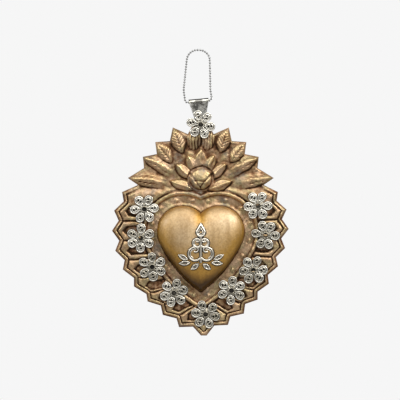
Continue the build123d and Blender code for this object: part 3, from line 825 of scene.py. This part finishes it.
def plateRub(height, edge, toHeart):
    # wear and painted shade of each place: crowns rubbed bright and patina dark in the hollows, with painted shade on
    # the crest's undersides, on the bevel and round the heart's foot
    w = plateWearAndShade
    broad = height - blurred(height, w["broadReach"])
    raised = height - blurred(height, w["raisedReach"])
    fine = height - blurred(height, w["fineReach"])
    inCrest = smoothStep(*w["crestY"], gridY)
    # slope down the plate, for painted shade on downward-facing places and painted light on upward-facing ones
    rising = np.gradient(blurred(height, w["underReach"]), relief["raster"], axis=0)
    under = smoothStep(*w["underSlope"], rising)
    low, high = (span + more * inCrest for span, more in zip(w["fineSpan"], w["crestSpan"]))
    # in the crest the dark marks stay mainly on downward-facing sides: painted shadow lines under the forms
    marks = np.clip(fine, low, high) * np.where(fine < 0, 1 - w["crestLines"] * inCrest * (1 - under), 1)
    relieved = w["broad"] * broad * (1 - (1 - w["crestBroad"]) * inCrest) + w["fine"] * marks
    channel = smoothStep(0.0, 1.0, toHeart) * smoothStep(5.8, 4.8, toHeart)
    wearAndShading = w["ground"] + relieved * (1 - w["channelCalm"] * channel)
    # crest lifted, raised forms lighter, and painted light and shade by the way each slope faces
    wearAndShading += inCrest * (w["crest"] + w["raised"] * raised - w["under"] * (under - w["underMiddle"]))
    wearAndShading -= w["wings"] * inCrest * smoothStep(*w["wingsX"], np.abs(gridX)) + w["top"] * smoothStep(*w["topY"], gridY)
    # along the edge the value is held at one low level: painted shade on the bevel where it falls away
    wearAndShading += (w["edge"] + w["crestEdge"] * inCrest - wearAndShading) * smoothStep(*w["edgeWidth"], edge)
    # painted shadow round the heart's foot, wider and darker below the heart
    lower = smoothStep(*w["lowY"], gridY)
    seam = bell(np.maximum(toHeart, 0), w["footShadowHalf"] + w["footShadowBelowHalf"] * lower)
    wearAndShading += w["channel"] * channel - (w["seam"] + w["footShadowBelow"] * lower) * seam
    return np.clip(wearAndShading, 0, 1)


def sampled(field, x, y):
    fx = (np.asarray(x) - gridX[0, 0]) / relief["raster"]
    fy = (np.asarray(y) - gridY[0, 0]) / relief["raster"]
    ix, iy = np.floor(fx).astype(int), np.floor(fy).astype(int)
    tx, ty = fx - ix, fy - iy
    low = field[iy, ix] * (1 - tx) + field[iy, ix + 1] * tx
    high = field[iy + 1, ix] * (1 - tx) + field[iy + 1, ix + 1] * tx
    return low * (1 - ty) + high * ty


def makePlate():
    edge = loopDistance(gridX, gridY, plateLoop)
    toHeart = loopDistance(gridX, gridY, heartEdge) * np.where(insideLoop(gridX, gridY, heartEdge), -1, 1)
    height = plateHeight(edge, toHeart)
    wearAndShading = plateRub(height, edge, toHeart)
    step = relief["meshStep"]
    counts = [max(1, round(d / step)) for d in np.hypot(*(np.roll(plateLoop, -1, axis=0) - plateLoop).T)]
    rim = spreadLoop(plateLoop, counts)
    inner = spreadLoop(insetLoop(plateLoop, bench["rimWall"]), counts)
    px, py = np.meshgrid(np.arange(*relief["meshX"], step), np.arange(*relief["meshY"], step * relief["rowShare"]))
    px = px + (np.arange(py.shape[0]) % 2)[:, None] * step / 2
    keep = insideLoop(px, py, plateLoop) & (loopDistance(px, py, plateLoop) > relief["rimClear"] * step)
    flat = np.concatenate([rim, np.stack([px[keep], py[keep]], axis=1)])
    n = len(rim)
    edges = [(i, (i + 1) % n) for i in range(n)]
    spots, _, faces, sources, _, _ = delaunay_2d_cdt([Vector(p) for p in flat], edges, [], 1, 1e-6)
    spots = np.array([list(p) for p in spots])
    where = {source: i for i, group in enumerate(sources) for source in group}
    rimIndex = [where[i] for i in range(n)]
    top = ground + sampled(height, spots[:, 0], spots[:, 1])
    top[rimIndex] = ground - bench["bevelDrop"]
    points = [np.column_stack([spots, top])]
    shade = [sampled(wearAndShading, spots[:, 0], spots[:, 1])]
    faces = [list(face) for face in faces]
    above, start = rimIndex, len(spots)
    # down the outer wall, round the turned-back rim and up to the ceiling inside
    walls = ((rim, bench["rimFoot"]), (insetLoop(rim, bench["rimRound"]), 0.0), (inner, 0.0), (inner, bench["ceiling"]))
    for (loop, level), wear in zip(walls, plateWearAndShade["rim"]):
        points.append(np.column_stack([loop, np.full(n, level)]))
        shade.append(np.full(n, wear))
        faces += ringFaces(row(start, n), above)
        above, start = row(start, n), start + n
    faces.append(above[::-1])
    return makePiece("frontPlate", np.concatenate(points), faces, np.concatenate(shade), "pendant", "sheet",
                     "front_plate", sharp=50)


plate = makePlate()
print("front plate worked:", len(plate.data.vertices), "points")


# Raised heart

# painted light and shade of the heart, with the rubbing of its crown
heartWearAndShade = {
    "middle": 0.8, "flank": 0.575, "crown": 0.18, "rimFrom": 0.93, "rimFall": 2.0, "climb": 0.01, "climbFrom": 4.0,
    "dusk": 0.2, "duskFrom": 0.62, "duskY": (14, -6), "notch": 0.22, "notchHalf": 3.2, "notchY": (9, 15),
    "cheek": 0.1, "cheekAt": (-9.5, 5.0), "cheekReach": (4.5, 6.0),
    "shoulderAt": (14.5, 14.5), "shoulderReach": (5.5, 5.0), "leftShoulder": 0.03, "rightShoulder": 0.11,
}
heartMiddle = np.array([0, heart["middle"]])


def heartProfile(share):
    # height of the pillow at a share of the way from its middle to its edge
    s = np.clip(share, 0, 1)
    return heart["height"] * (1 - s ** heart["crown"]) ** (1 / heart["round"])


def heartTop(x, y):
    # bench height of the heart's surface above a place
    way = np.stack([x, y - heartMiddle[1]], axis=-1)
    angle = np.arctan2(way[..., 1], way[..., 0])
    rim = heartEdge - heartMiddle
    rimAngle = np.arctan2(rim[:, 1], rim[:, 0])
    order = np.argsort(rimAngle)
    reach = np.interp(angle, rimAngle[order], np.hypot(*rim.T)[order], period=2 * math.pi)
    return ground + heartProfile(np.hypot(way[..., 0], way[..., 1]) / reach)


def heartRub(share, x, y):
    # painted light and shade on the pillow: lighter on the crown, partly rubbed and partly painted light; painted
    # lighter towards the top; painted highlights on the shoulders and painted light on the left cheek; painted shade in
    # the notch, down the lower flanks and at the rim
    w = heartWearAndShade
    slope = w["flank"] + w["crown"] * math.cos(share * math.pi / 2) - w["rimFall"] * max(0, share - w["rimFrom"])
    dusk = w["dusk"] * smoothStep(w["duskFrom"], 1.0, share) * smoothStep(*w["duskY"], y)
    dusk = dusk + w["notch"] * bell(x, w["notchHalf"]) * smoothStep(*w["notchY"], y)
    (cheekX, cheekY), (cheekWide, cheekHigh) = w["cheekAt"], w["cheekReach"]
    cheek = w["cheek"] * bell(x - cheekX, cheekWide) * bell(y - cheekY, cheekHigh)
    (shoulderX, shoulderY), (shoulderWide, shoulderHigh) = w["shoulderAt"], w["shoulderReach"]
    shoulder = bell(np.abs(x) - shoulderX, shoulderWide) * bell(y - shoulderY, shoulderHigh)
    shoulder = shoulder * np.where(x < 0, w["leftShoulder"], w["rightShoulder"])
    return np.clip(slope + w["climb"] * (y - w["climbFrom"]) - dusk + cheek + shoulder, 0, 1)


def makeHeart():
    n = len(heartEdge)
    shares = np.sin(np.linspace(0, math.pi / 2, heart["rings"] + 1))[1:]
    points, wearAndShading = [np.array([[*heartMiddle, ground + heart["height"]]])], [[heartWearAndShade["middle"]]]
    for share in shares:
        ring = heartMiddle + (heartEdge - heartMiddle) * share
        points.append(np.column_stack([ring, np.full(n, ground + heartProfile(share))]))
        wearAndShading.append(heartRub(share, *ring.T))
    # foot ring under the rim, painted dark as shade under the pillow's edge
    points.append(np.column_stack([heartEdge, np.full(n, ground - heart["sunk"])]))
    wearAndShading.append(np.zeros(n))
    rows = [row(1 + n * i, n) for i in range(len(shares) + 1)]
    faces = [[0, k, i] for i, k in zip(rows[0], rows[0][1:] + rows[0][:1])]
    faces += skin(rows) + [rows[-1]]
    makePiece("heartDome", np.concatenate(points), faces, np.concatenate(wearAndShading), "pendant", "heart", "heart_dome",
              sharp=70)


makeHeart()
print("heart raised")


# Filigree flowers

flower = {
    "turns": [3, 30, 32, 15, 50, 25, 5, 55, 0], "bailTurn": 50, "stand": 1.0, "bailStand": 0.5,
    # each flower's level, partly tarnish and partly painted shade where the flower gets less light; each petal then
    # varies at random down to dullest
    "flowerTarnishAndShade": [1.0, 0.9, 0.84, 0.87, 0.78, 0.85, 0.86, 0.87, 0.95], "dullest": 0.8,
    "petals": 6, "reach": 4.75, "long": 2.55, "wide": 2.2, "pear": 0.12, "turnWobble": 3.0, "sizeWobble": 0.036,
    "rim": 0.34, "rimLevel": 0.5, "rimHeight": 0.42, "tieLevel": 0.62, "tieWire": 0.26, "tieApart": 0.42,
    "face": 0.72, "dome": 0.5, "under": 0.1, "grooveAt": 0.84, "grooveHalf": 0.07, "grooveDepth": 0.25,
    "eye": 0.42, "eyeWide": 0.5, "eyeDepth": 0.85, "eyeApart": 0.7, "eyeIn": 0.15, "eyeSlant": 16, "eyeWobble": 12,
    "tail": 0.17, "tailSweep": 2.2, "tailGrow": 0.16, "tailDepth": 0.75,
    "faceRub": 0.78, "pitRub": 0.9, "grooveRub": 0.62, "underRub": 0.55,
    "calyx": 3.1, "cup": 1.45, "bore": 1.1, "cupTop": 0.85, "floor": 0.6,
}


def petalRing(shrink, count):
    # pear-shaped line inside the petal's edge
    f = flower
    turns = np.linspace(0, 2 * math.pi, count, endpoint=False)
    x = (f["long"] - shrink) * np.cos(turns)
    y = (f["wide"] - shrink) * np.sin(turns) * (1 + f["pear"] * np.cos(turns))
    return np.column_stack([f["reach"] + x, y])


def petalRim():
    # rounded outer wire and the two wires that tie it to the cup
    f = flower
    line = petalRing(f["rim"], 32)
    line = np.column_stack([line, np.full(len(line), f["rimLevel"])])
    parts = [tube(line, f["rim"], f["rimHeight"], 12, closed=True, low=0.05)]
    start = f["reach"] - f["long"] + f["rim"] / 2
    for apart in (-f["tieApart"], f["tieApart"]):
        tie = [(start + 0.4, apart * 1.6, f["tieLevel"]), ((start + f["cup"]) / 2, apart * 1.2, f["tieLevel"] + 0.04),
               (f["cup"] - 0.15, apart, f["tieLevel"])]
        parts.append(tube(tie, f["tieWire"], low=0.0, high=0.72))
    return parts


def petalFace(spin):
    # inside of a petal: coiled wire in a low dome, with two deep eyes and the tails that curl from them
    f = flower
    rings, count = 20, 36
    shares = np.linspace(0, 1, rings + 1)[1:]
    edge = petalRing(0.8 * f["rim"], count) - [f["reach"], 0]
    spots = np.concatenate([[[0, 0]]] + [edge * t for t in shares])
    share = np.concatenate([[0], np.repeat(shares, count)])
    turn = math.radians(f["eyeSlant"] + spin)
    x = (spots[:, 0] + f["eyeIn"]) * math.cos(turn) + spots[:, 1] * math.sin(turn)
    y = spots[:, 1] * math.cos(turn) - (spots[:, 0] + f["eyeIn"]) * math.sin(turn)
    around, angle = np.hypot(x, y), np.arctan2(y, x)
    pit = np.zeros(len(spots))
    for side in (0, math.pi):
        eye = bell(np.hypot((x - f["eyeApart"] * math.cos(side)) / f["eye"], y / f["eyeWide"]) ** 2, 1)
        swept = np.mod(angle - side, 2 * math.pi)
        tail = bell(around - f["eyeApart"] - f["tailGrow"] * swept, f["tail"]) * smoothStep(f["tailSweep"], 0.4, swept)
        pit = np.maximum(pit, np.maximum(eye, f["tailDepth"] * tail))
    groove = bell(share - f["grooveAt"], f["grooveHalf"])
    level = f["face"] + f["dome"] * taper(share, 2) ** 0.7 - f["eyeDepth"] * pit - f["grooveDepth"] * groove
    wearAndShading = np.clip(f["faceRub"] - f["pitRub"] * pit - f["grooveRub"] * groove, 0, 1)
    points = np.column_stack([spots + [f["reach"], 0], level])
    points = np.concatenate([points, points[-count:] * [1, 1, 0] + [0, 0, f["under"]]])
    rows = [row(1 + i * count, count) for i in range(rings + 1)]
    around = [(i, (i + 1) % count) for i in range(count)]
    faces = [[0, rows[0][i], rows[0][k]] for i, k in around]
    for upper, lower in zip(rows, rows[1:]):
        faces += [[upper[i], lower[i], lower[k], upper[k]] for i, k in around]
    faces.append(rows[-1][::-1])
    return points, faces, np.concatenate([wearAndShading, np.full(count, f["underRub"])])


def flowerParts(stand, bright):
    f = flower
    loops, eyes = [], []
    for i in range(f["petals"]):
        turn = i * 360 / f["petals"] + rng.normal(0, f["turnWobble"])
        size = 1 + rng.normal(0, f["sizeWobble"])
        # the flower's tarnish and painted shade, times each petal's own tarnish
        tarnishAndShade = bright * rng.uniform(f["dullest"], 1.0)
        for parts, store in ((petalRim(), loops), ([petalFace(rng.normal(0, f["eyeWobble"]))], eyes)):
            for points, faces, wearAndShading in parts:
                store.append((turned(points * [1, size, 1], turn), faces, wearAndShading * tarnishAndShade))
    cup, calyx, bore, top, floor = f["cup"], f["calyx"], f["bore"], f["cupTop"], f["floor"] - stand
    profile = [
        (0, -stand, 0.0), (cup - 0.15, -stand, 0.1), (cup, 0.05, 0.1), (calyx, 0.15, 0.1), (calyx + 0.05, 0.25, 0.3),
        (calyx - 0.1, 0.36, 0.42), (cup + 0.2, 0.52, 0.3), (cup, top - 0.1, 0.35), (cup - 0.1, top, 0.5),
        (bore + 0.05, top, 0.35), (bore, top - 0.2, 0.0), (bore - 0.1, floor + 0.15, 0.0), (0, floor, 0.0),
    ]
    return joinParts(loops), joinParts(eyes), lathe(profile, 24, low=0.0)


def placedFlower(name, node, turn, level, stand, bright):
    x, y, _ = nodeMiddle(f"{node}_cup")
    for part, (points, faces, wearAndShading) in zip(("petals", "scrolls", "cup"), flowerParts(stand, bright)):
        makePiece(f"{name}{part.capitalize()}", turned(points, turn) + [x, y, level], faces, wearAndShading, "pendant", "filigree",
                  f"{node}_{part}")


for i, (turn, bright) in enumerate(zip(flower["turns"], flower["flowerTarnishAndShade"]), 1):
    placedFlower(f"flower{i}", f"flower_{i}", turn, ground + flower["stand"], flower["stand"], bright)
bailFoot = nodeBench("bail_flower_cup")[:, 2].min()
placedFlower("bailFlower", "bail_flower", flower["bailTurn"], bailFoot + flower["bailStand"], flower["bailStand"], 1.0)
print("flowers set:", len(flower["turns"]) + 1)


# Sprig on the heart

sprig = {
    "wire": 0.5, "wireHeight": 0.38, "wireLevel": 0.3, "fine": 0.26, "fineHeight": 0.24, "fineLevel": 0.2,
    "seam": 0.34, "seamHeight": 0.14, "seamLevel": 0.06, "foot": -6.2, "head": 6.8, "stemApart": 0.27, "stemWire": 0.28,
    "curls": [(3.3, -3.4), (2.1, 2.6)], "curlHeight": 0.42, "curlEnd": 0.7, "curlCore": 0.36, "innerCurl": 0.72,
    "curlGrain": 0.52, "curlGrainLevel": 0.42, "dropAt": 9.0, "drop": 2.0, "dropPoint": 4.0, "innerDrop": 0.55,
    "innerDropLevel": 0.25, "dropGrain": 0.45, "dropGrainLevel": 0.35,
    "leaves": [((11, -2.4), (6.6, -4.6)), ((10.6, -6.6), (5.4, -6.2)), ((4.6, -9.4), (1.2, -6.9))],
    "leafWidth": 1.8, "leafWire": 0.32, "ribWire": 0.2, "ribHeight": 0.3, "leafGrain": 0.38,
}
curlLean = math.radians(30)  # the curls leave the stem this far under level
curlTurn = math.radians(100)  # where the tighter end of a curl begins


def onHeart(flatPath, level):
    flatPath = np.asarray(flatPath, float)
    return np.column_stack([flatPath, heartTop(flatPath[:, 0], flatPath[:, 1]) + level])


def grain(at, radius, level):
    return ball(onHeart([at], level)[0], radius)


def curlPath(radius, startY, side):
    x, y, inner = radius * math.cos(curlLean), startY + radius / 2, sprig["curlCore"] * radius
    large = np.linspace(math.radians(-150), curlTurn, 26)
    small = np.linspace(curlTurn, math.radians(300), 14)[1:]
    first = np.column_stack([x + radius * np.cos(large), y + radius * np.sin(large)])
    second = np.column_stack([x + (radius - inner) * math.cos(curlTurn) + inner * np.cos(small),
                              y + (radius - inner) * math.sin(curlTurn) + inner * np.sin(small)])
    return np.concatenate([first, second]) * [side, 1]


def dropPath(size, point, count=34):
    # open drop with a pointed head
    turns = np.linspace(0, 2 * math.pi, count, endpoint=False)
    head = np.clip(-np.cos(turns), 0, 1) ** 2
    x = size * np.sin(turns) * (1 - 0.75 * head)
    return np.column_stack([x, -size * np.cos(turns) + (point - size) * head])


def almondPath(tip, root, width, count=9):
    t = np.linspace(0, 1, count)
    along = root + (tip - root) * t[:, None]
    way = (tip - root) / np.hypot(*(tip - root))
    across = np.array([-way[1], way[0]]) * (width / 2 * np.sin(math.pi * t))[:, None]
    return np.concatenate([along + across, (along - across)[-2:0:-1]]), along


def soldered(line, width, height=sprig["wireHeight"], level=sprig["wireLevel"], closed=False):
    # wire on the heart with the dark seam of solder beside it
    seamWidth = np.asarray(width) + sprig["seam"]
    seam = tube(onHeart(line, sprig["seamLevel"]), seamWidth, sprig["seamHeight"], 6, closed=closed, low=0.0, high=0.05)
    return [seam, tube(onHeart(line, level), width, height, 8, closed=closed)]


def sprigScrolls():
    s = sprig
    stem = np.column_stack([np.zeros(30), np.linspace(s["foot"], s["head"], 30)])
    parts = []
    for shift in (-s["stemApart"], s["stemApart"]):
        parts += soldered(stem + [shift, 0], s["stemWire"])
    for side in (-1, 1):
        for radius, y in s["curls"]:
            line = curlPath(radius, y, side)
            parts += soldered(line, np.linspace(s["wire"], s["curlEnd"] * s["wire"], len(line)), s["curlHeight"])
            centre = np.array([side * radius * math.cos(curlLean), y + radius / 2])
            inner = centre + (line[8:26] - centre) * s["innerCurl"]
            parts.append(tube(onHeart(inner, s["fineLevel"]), s["fine"], s["fineHeight"], 6))
            parts.append(grain(line[-1], s["curlGrain"], s["curlGrainLevel"]))
    return parts


def sprigBud():
    s = sprig
    parts = []
    for share, level, wire in ((1.0, s["wireLevel"], s["wire"]), (s["innerDrop"], s["innerDropLevel"], s["fine"])):
        line = dropPath(s["drop"] * share, s["dropPoint"] * share) + [0, s["dropAt"]]
        parts += soldered(line, wire, level=level, closed=True)
    parts.append(grain((0, s["dropAt"] + s["dropPoint"] + 0.3), s["dropGrain"], s["dropGrainLevel"]))
    return parts


def sprigLeaves():
    s = sprig
    parts = []
    for place in s["leaves"]:
        for side in (-1, 1):
            tip, root = np.array(place) * [side, 1]
            rim, rib = almondPath(tip, root, s["leafWidth"])
            parts += soldered(rim, s["leafWire"], closed=True)
            parts.append(tube(onHeart(rib, s["fineLevel"]), s["ribWire"], s["ribHeight"], 6))
            parts.append(grain(tip, s["leafGrain"], s["wireLevel"]))
    return parts


for name, node, parts in (("sprigScrolls", "sprig_scrolls", sprigScrolls()), ("sprigBud", "sprig_bud", sprigBud()),
                          ("sprigLeaves", "sprig_leaves", sprigLeaves())):
    makePiece(name, *joinParts(parts), "pendant", "sprig", node)
print("sprig soldered")


# Bail and chain

bailForm = {
    "end": 2.5, "top": 5.0, "flare": 1.35, "tilt": 5.2, "length": 11.5, "fold": 1.25, "foldZ": 2.4,
    "front": 3.45, "back": 2.95, "clamp": 4.3, "thick": 0.46, "across": 13, "runs": 12, "foldRuns": 17,
    "wearAndShading": 0.66, "edgeRub": 0.34, "edgeFrom": 0.84, "foldDark": 0.2, "band": 0.36, "bandAt": 0.5, "bandHalf": 0.22,
    "topDark": 0.5,
}


def bailPath():
    # side view of the folded strip: up the front, round the chain and down the back
    f = bailForm
    low, high = np.linspace(-f["end"], f["clamp"], f["runs"]), np.linspace(f["clamp"], f["length"], f["runs"])
    rise = (high - f["clamp"]) / (f["length"] - f["clamp"])
    rise = np.concatenate([np.zeros(len(low)), rise[1:]])
    front = f["front"] + rise * (f["foldZ"] + f["fold"] - f["front"])
    back = f["back"] + rise * (f["foldZ"] - f["fold"] - f["back"])
    y = np.concatenate([low, high[1:]])
    t = np.linspace(0, math.pi, f["foldRuns"])[1:-1]
    fold = np.column_stack([f["length"] + f["fold"] * np.sin(t), f["foldZ"] + f["fold"] * np.cos(t)])
    return np.concatenate([np.column_stack([y, front]), fold, np.column_stack([y, back])[::-1]])


def bailHalf(y):
    f = bailForm
    rounded = np.sqrt(np.clip(f["end"] ** 2 - np.minimum(y, 0) ** 2, 0.02, None))
    flare = (f["top"] - f["end"]) * np.clip(y / f["length"], 0, 1) ** f["flare"]
    return rounded + flare


def bailRub(y, edge):
    # bright edges, a painted highlight in a band under the fold, and dark on top of it
    f = bailForm
    fold = y - f["length"]
    wearAndShading = f["wearAndShading"] + f["edgeRub"] * smoothStep(f["edgeFrom"], 1.0, edge) * smoothStep(0.2, -0.4, fold)
    # painted highlight: a bright band just under the fold
    wearAndShading += f["band"] * bell(fold - f["bandAt"], f["bandHalf"]) * smoothStep(0.98, 0.7, edge)
    wearAndShading -= f["foldDark"] * smoothStep(-0.5, 0.2, fold) + f["topDark"] * smoothStep(0.75, 1.0, fold)
    return np.clip(wearAndShading, 0, 1)


def makeBail():
    path, across = bailPath(), bailForm["across"]
    tangent = np.gradient(path, axis=0)
    tangent /= np.linalg.norm(tangent, axis=1)[:, None]
    normal = np.column_stack([-tangent[:, 1], tangent[:, 0]])
    half = bailHalf(path[:, 0])
    spread = np.linspace(-1, 1, across)
    layers = []
    for way in (0.5, -0.5):
        shift = path + normal * way * bailForm["thick"]
        layers += [np.column_stack([half * s, shift]) for s in spread]
    points = np.stack(layers, axis=1).reshape(-1, 3)
    wide = 2 * across
    ring = np.array(row(0, across) + row(across, across)[::-1])
    rows = [ring + i * wide for i in range(len(path))]
    faces = skin(rows) + [rows[0][::-1], rows[-1]]
    wearAndShading = bailRub(np.repeat(path[:, 0], wide), np.tile(np.abs(np.concatenate([spread, spread])), len(path)))
    points = turned(points, bailForm["tilt"]) + [0, nodeMiddle("bail_flower_cup")[1], 0]
    makePiece("bailStrip", points, faces, wearAndShading, "bail", "bail", "bail", sharp=50)


makeBail()

beadForm = {
    "radius": 0.57, "half": 0.42, "wire": 0.12,
    "profile": [(0, -1.0, 0.2), (0.5, -0.96, 0.3), (0.86, -0.55, 0.8), (1.0, -0.2, 1.0), (1.0, 0.2, 1.0),
                (0.86, 0.55, 0.8), (0.5, 0.96, 0.3), (0, 1.0, 0.2)],
}


def beadPlaces():
    # middle of every bead, in order along the chain
    spots = nodeBench("chain_beads")
    keys = [tuple(np.round(p * 50).astype(int)) for p in spots]
    parent = {key: key for key in keys}

    def root(key):
        while parent[key] != key:
            key = parent[key]
        return key

    for face in nodes["chain_beads"].data.polygons:
        ring = [keys[i] for i in face.vertices]
        for other in ring[1:]:
            parent[root(other)] = root(ring[0])
    piles = {}
    for key, spot in zip(keys, spots):
        piles.setdefault(root(key), {})[key] = spot
    middles = [np.mean(list(pile.values()), axis=0) for pile in piles.values()]
    order = [middles.pop(0)]
    while middles:
        nearest = min(range(len(middles)), key=lambda i: np.linalg.norm(middles[i] - order[-1]))
        order.append(middles.pop(nearest))
    return np.array(order)


def makeChain():
    places = beadPlaces()
    tangents = np.roll(places, -1, axis=0) - np.roll(places, 1, axis=0)
    profile = [(r * beadForm["radius"], z * beadForm["half"], w) for r, z, w in beadForm["profile"]]
    bead, faces, wearAndShading = lathe(profile, 12, low=0.2)
    parts = []
    for at, way in zip(places, tangents):
        turn = Vector((0, 0, 1)).rotation_difference(Vector(way)).to_matrix()
        parts.append((bead @ np.array(turn).T + at, faces, wearAndShading))
    makePiece("chainBeads", *joinParts(parts), "chain", "chain", "chain_beads")
    wire = tube(places, beadForm["wire"], sides=6, closed=True, low=0.2, high=0.7)
    makePiece("chainWire", *wire, "chain", "chain", "chain_wires")
    return len(places)


print("bail folded, beads strung:", makeChain())

# Nodes that keep their shape, with how rubbed each is
keptNodes = {"back_plate": ("back", 0.48), "flower_pins": ("filigree", 0.15), "bail_rivet": ("filigree", 0.15)}
for node, (finish, wear) in keptNodes.items():
    mesh = nodes[node].data
    layer = mesh.attributes.new("wearAndShading", "FLOAT", "POINT")
    layer.data.foreach_set("value", np.full(len(mesh.vertices), wear, np.float32))
    mesh.materials.clear()
    mesh.materials.append(materials[finish])
print("back plate and rivets finished")

# Stage, light and camera

stageForm = {
    "floor": -1.6, "floorRadius": 6.0, "floorSides": 64, "floorColour": (0.86, 0.86, 0.86), "floorRough": 0.9,
    "pale": 0.922, "shadow": 0.12, "mirrored": 0.05, "low": 0.04, "sky": 0.7, "skyEdges": (0.32, 0.82), "behind": 2.0,
}


def seenRays(tree):
    # rays that meet the backdrop itself, and those that see it in a mirror
    rays = tree.nodes.new("ShaderNodeLightPath").outputs
    return mathNode(tree, "MAXIMUM", rays["Is Camera Ray"], rays["Is Transmission Ray"]), rays["Is Glossy Ray"]


def paleFloor():
    # round pale floor that keeps a faint shadow
    s = stageForm
    turns = np.linspace(0, 2 * math.pi, s["floorSides"], endpoint=False)
    rim = [(s["floorRadius"] * math.cos(t), s["floorRadius"] * math.sin(t), 0) for t in turns]
    mesh = bpy.data.meshes.new("paleFloor")
    mesh.from_pydata(rim, [], [tuple(range(len(rim)))])
    floor = bpy.data.objects.new("paleFloor", mesh)
    floor.location.z = s["floor"]
    scene.collection.objects.link(floor)
    material = bpy.data.materials.new("paleFloor")
    material.use_nodes = True
    tree = material.node_tree
    shader = tree.nodes["Principled BSDF"]
    feed(tree, shader.inputs["Base Color"], s["floorColour"])
    feed(tree, shader.inputs["Roughness"], s["floorRough"])
    glow = addNode(tree, "ShaderNodeEmission", Color=(s["pale"], s["pale"], s["pale"], 1))
    seen, glossy = seenRays(tree)
    seen = mathNode(tree, "MAXIMUM", seen, times(tree, glossy, s["mirrored"]))
    mix = tree.nodes.new("ShaderNodeMixShader")
    tree.links.new(times(tree, seen, 1 - s["shadow"]), mix.inputs["Fac"])
    tree.links.new(shader.outputs[0], mix.inputs[1])
    tree.links.new(glow.outputs[0], mix.inputs[2])
    tree.links.new(mix.outputs[0], tree.nodes["Material Output"].inputs["Surface"])
    mesh.materials.append(material)


def softRoom():
    # pale backdrop for the camera and for what mirrors it, and a room that lights from above
    s = stageForm
    world = bpy.data.worlds.new("softRoom")
    scene.world = world
    world.use_nodes = True
    tree = world.node_tree
    split = tree.nodes.new("ShaderNodeSeparateXYZ")
    tree.links.new(tree.nodes.new("ShaderNodeTexCoord").outputs["Generated"], split.inputs[0])
    rise = mathNode(tree, "ADD", times(tree, split.outputs["Z"], 0.5), 0.5)
    upper = edgeRamp(tree, rise, s["skyEdges"], s["sky"], s["low"])
    seen, glossy = seenRays(tree)
    behind = times(tree, glossy, times(tree, split.outputs["Y"], s["behind"], clamp=True))
    pale = mathNode(tree, "MAXIMUM", seen, behind)
    colour = mixColour(tree, pale, upper, (s["pale"], s["pale"], s["pale"]))
    tree.links.new(colour, tree.nodes["Background"].inputs["Color"])


lampColour = (1.0, 0.985, 0.96)
lamps = [
    {"name": "keyWindow", "at": (0.12, -0.85, 0.88), "size": 1.2, "power": 12.0},
    {"name": "leftWindow", "at": (-0.85, -0.42, 0.5), "size": 0.26, "power": 2.8},
    {"name": "rightWindow", "at": (0.75, -0.42, 0.62), "size": 0.28, "power": 5.2},
]


def hangLamps():
    aim = Vector((0, 0, lift))
    for lamp in lamps:
        data = bpy.data.lights.new(lamp["name"], "AREA")
        data.size = lamp["size"]
        data.energy = lamp["power"]
        data.color = lampColour
        light = bpy.data.objects.new(lamp["name"], data)
        light.location = aim + Vector(lamp["at"])
        light.rotation_mode = "QUATERNION"
        light.rotation_quaternion = (aim - light.location).to_track_quat("-Z", "Y")
        scene.collection.objects.link(light)


cameraForm = {"distance": 1.5, "width": 0.2, "x": -0.0004, "benchY": 25.0, "sensor": 36.0}


def setCamera():
    c = cameraForm
    data = bpy.data.cameras.new("frontCamera")
    data.sensor_width = c["sensor"]
    data.lens = c["sensor"] * c["distance"] / c["width"]
    camera = bpy.data.objects.new("frontCamera", data)
    camera.location = (c["x"], backLevel - ground / 1000 - c["distance"], lift + c["benchY"] / 1000)
    camera.rotation_euler = (math.pi / 2, 0, 0)
    scene.collection.objects.link(camera)
    scene.camera = camera


paleFloor()
softRoom()
hangLamps()
setCamera()
scene.view_settings.view_transform = "Standard"
print("stage lit, camera set")
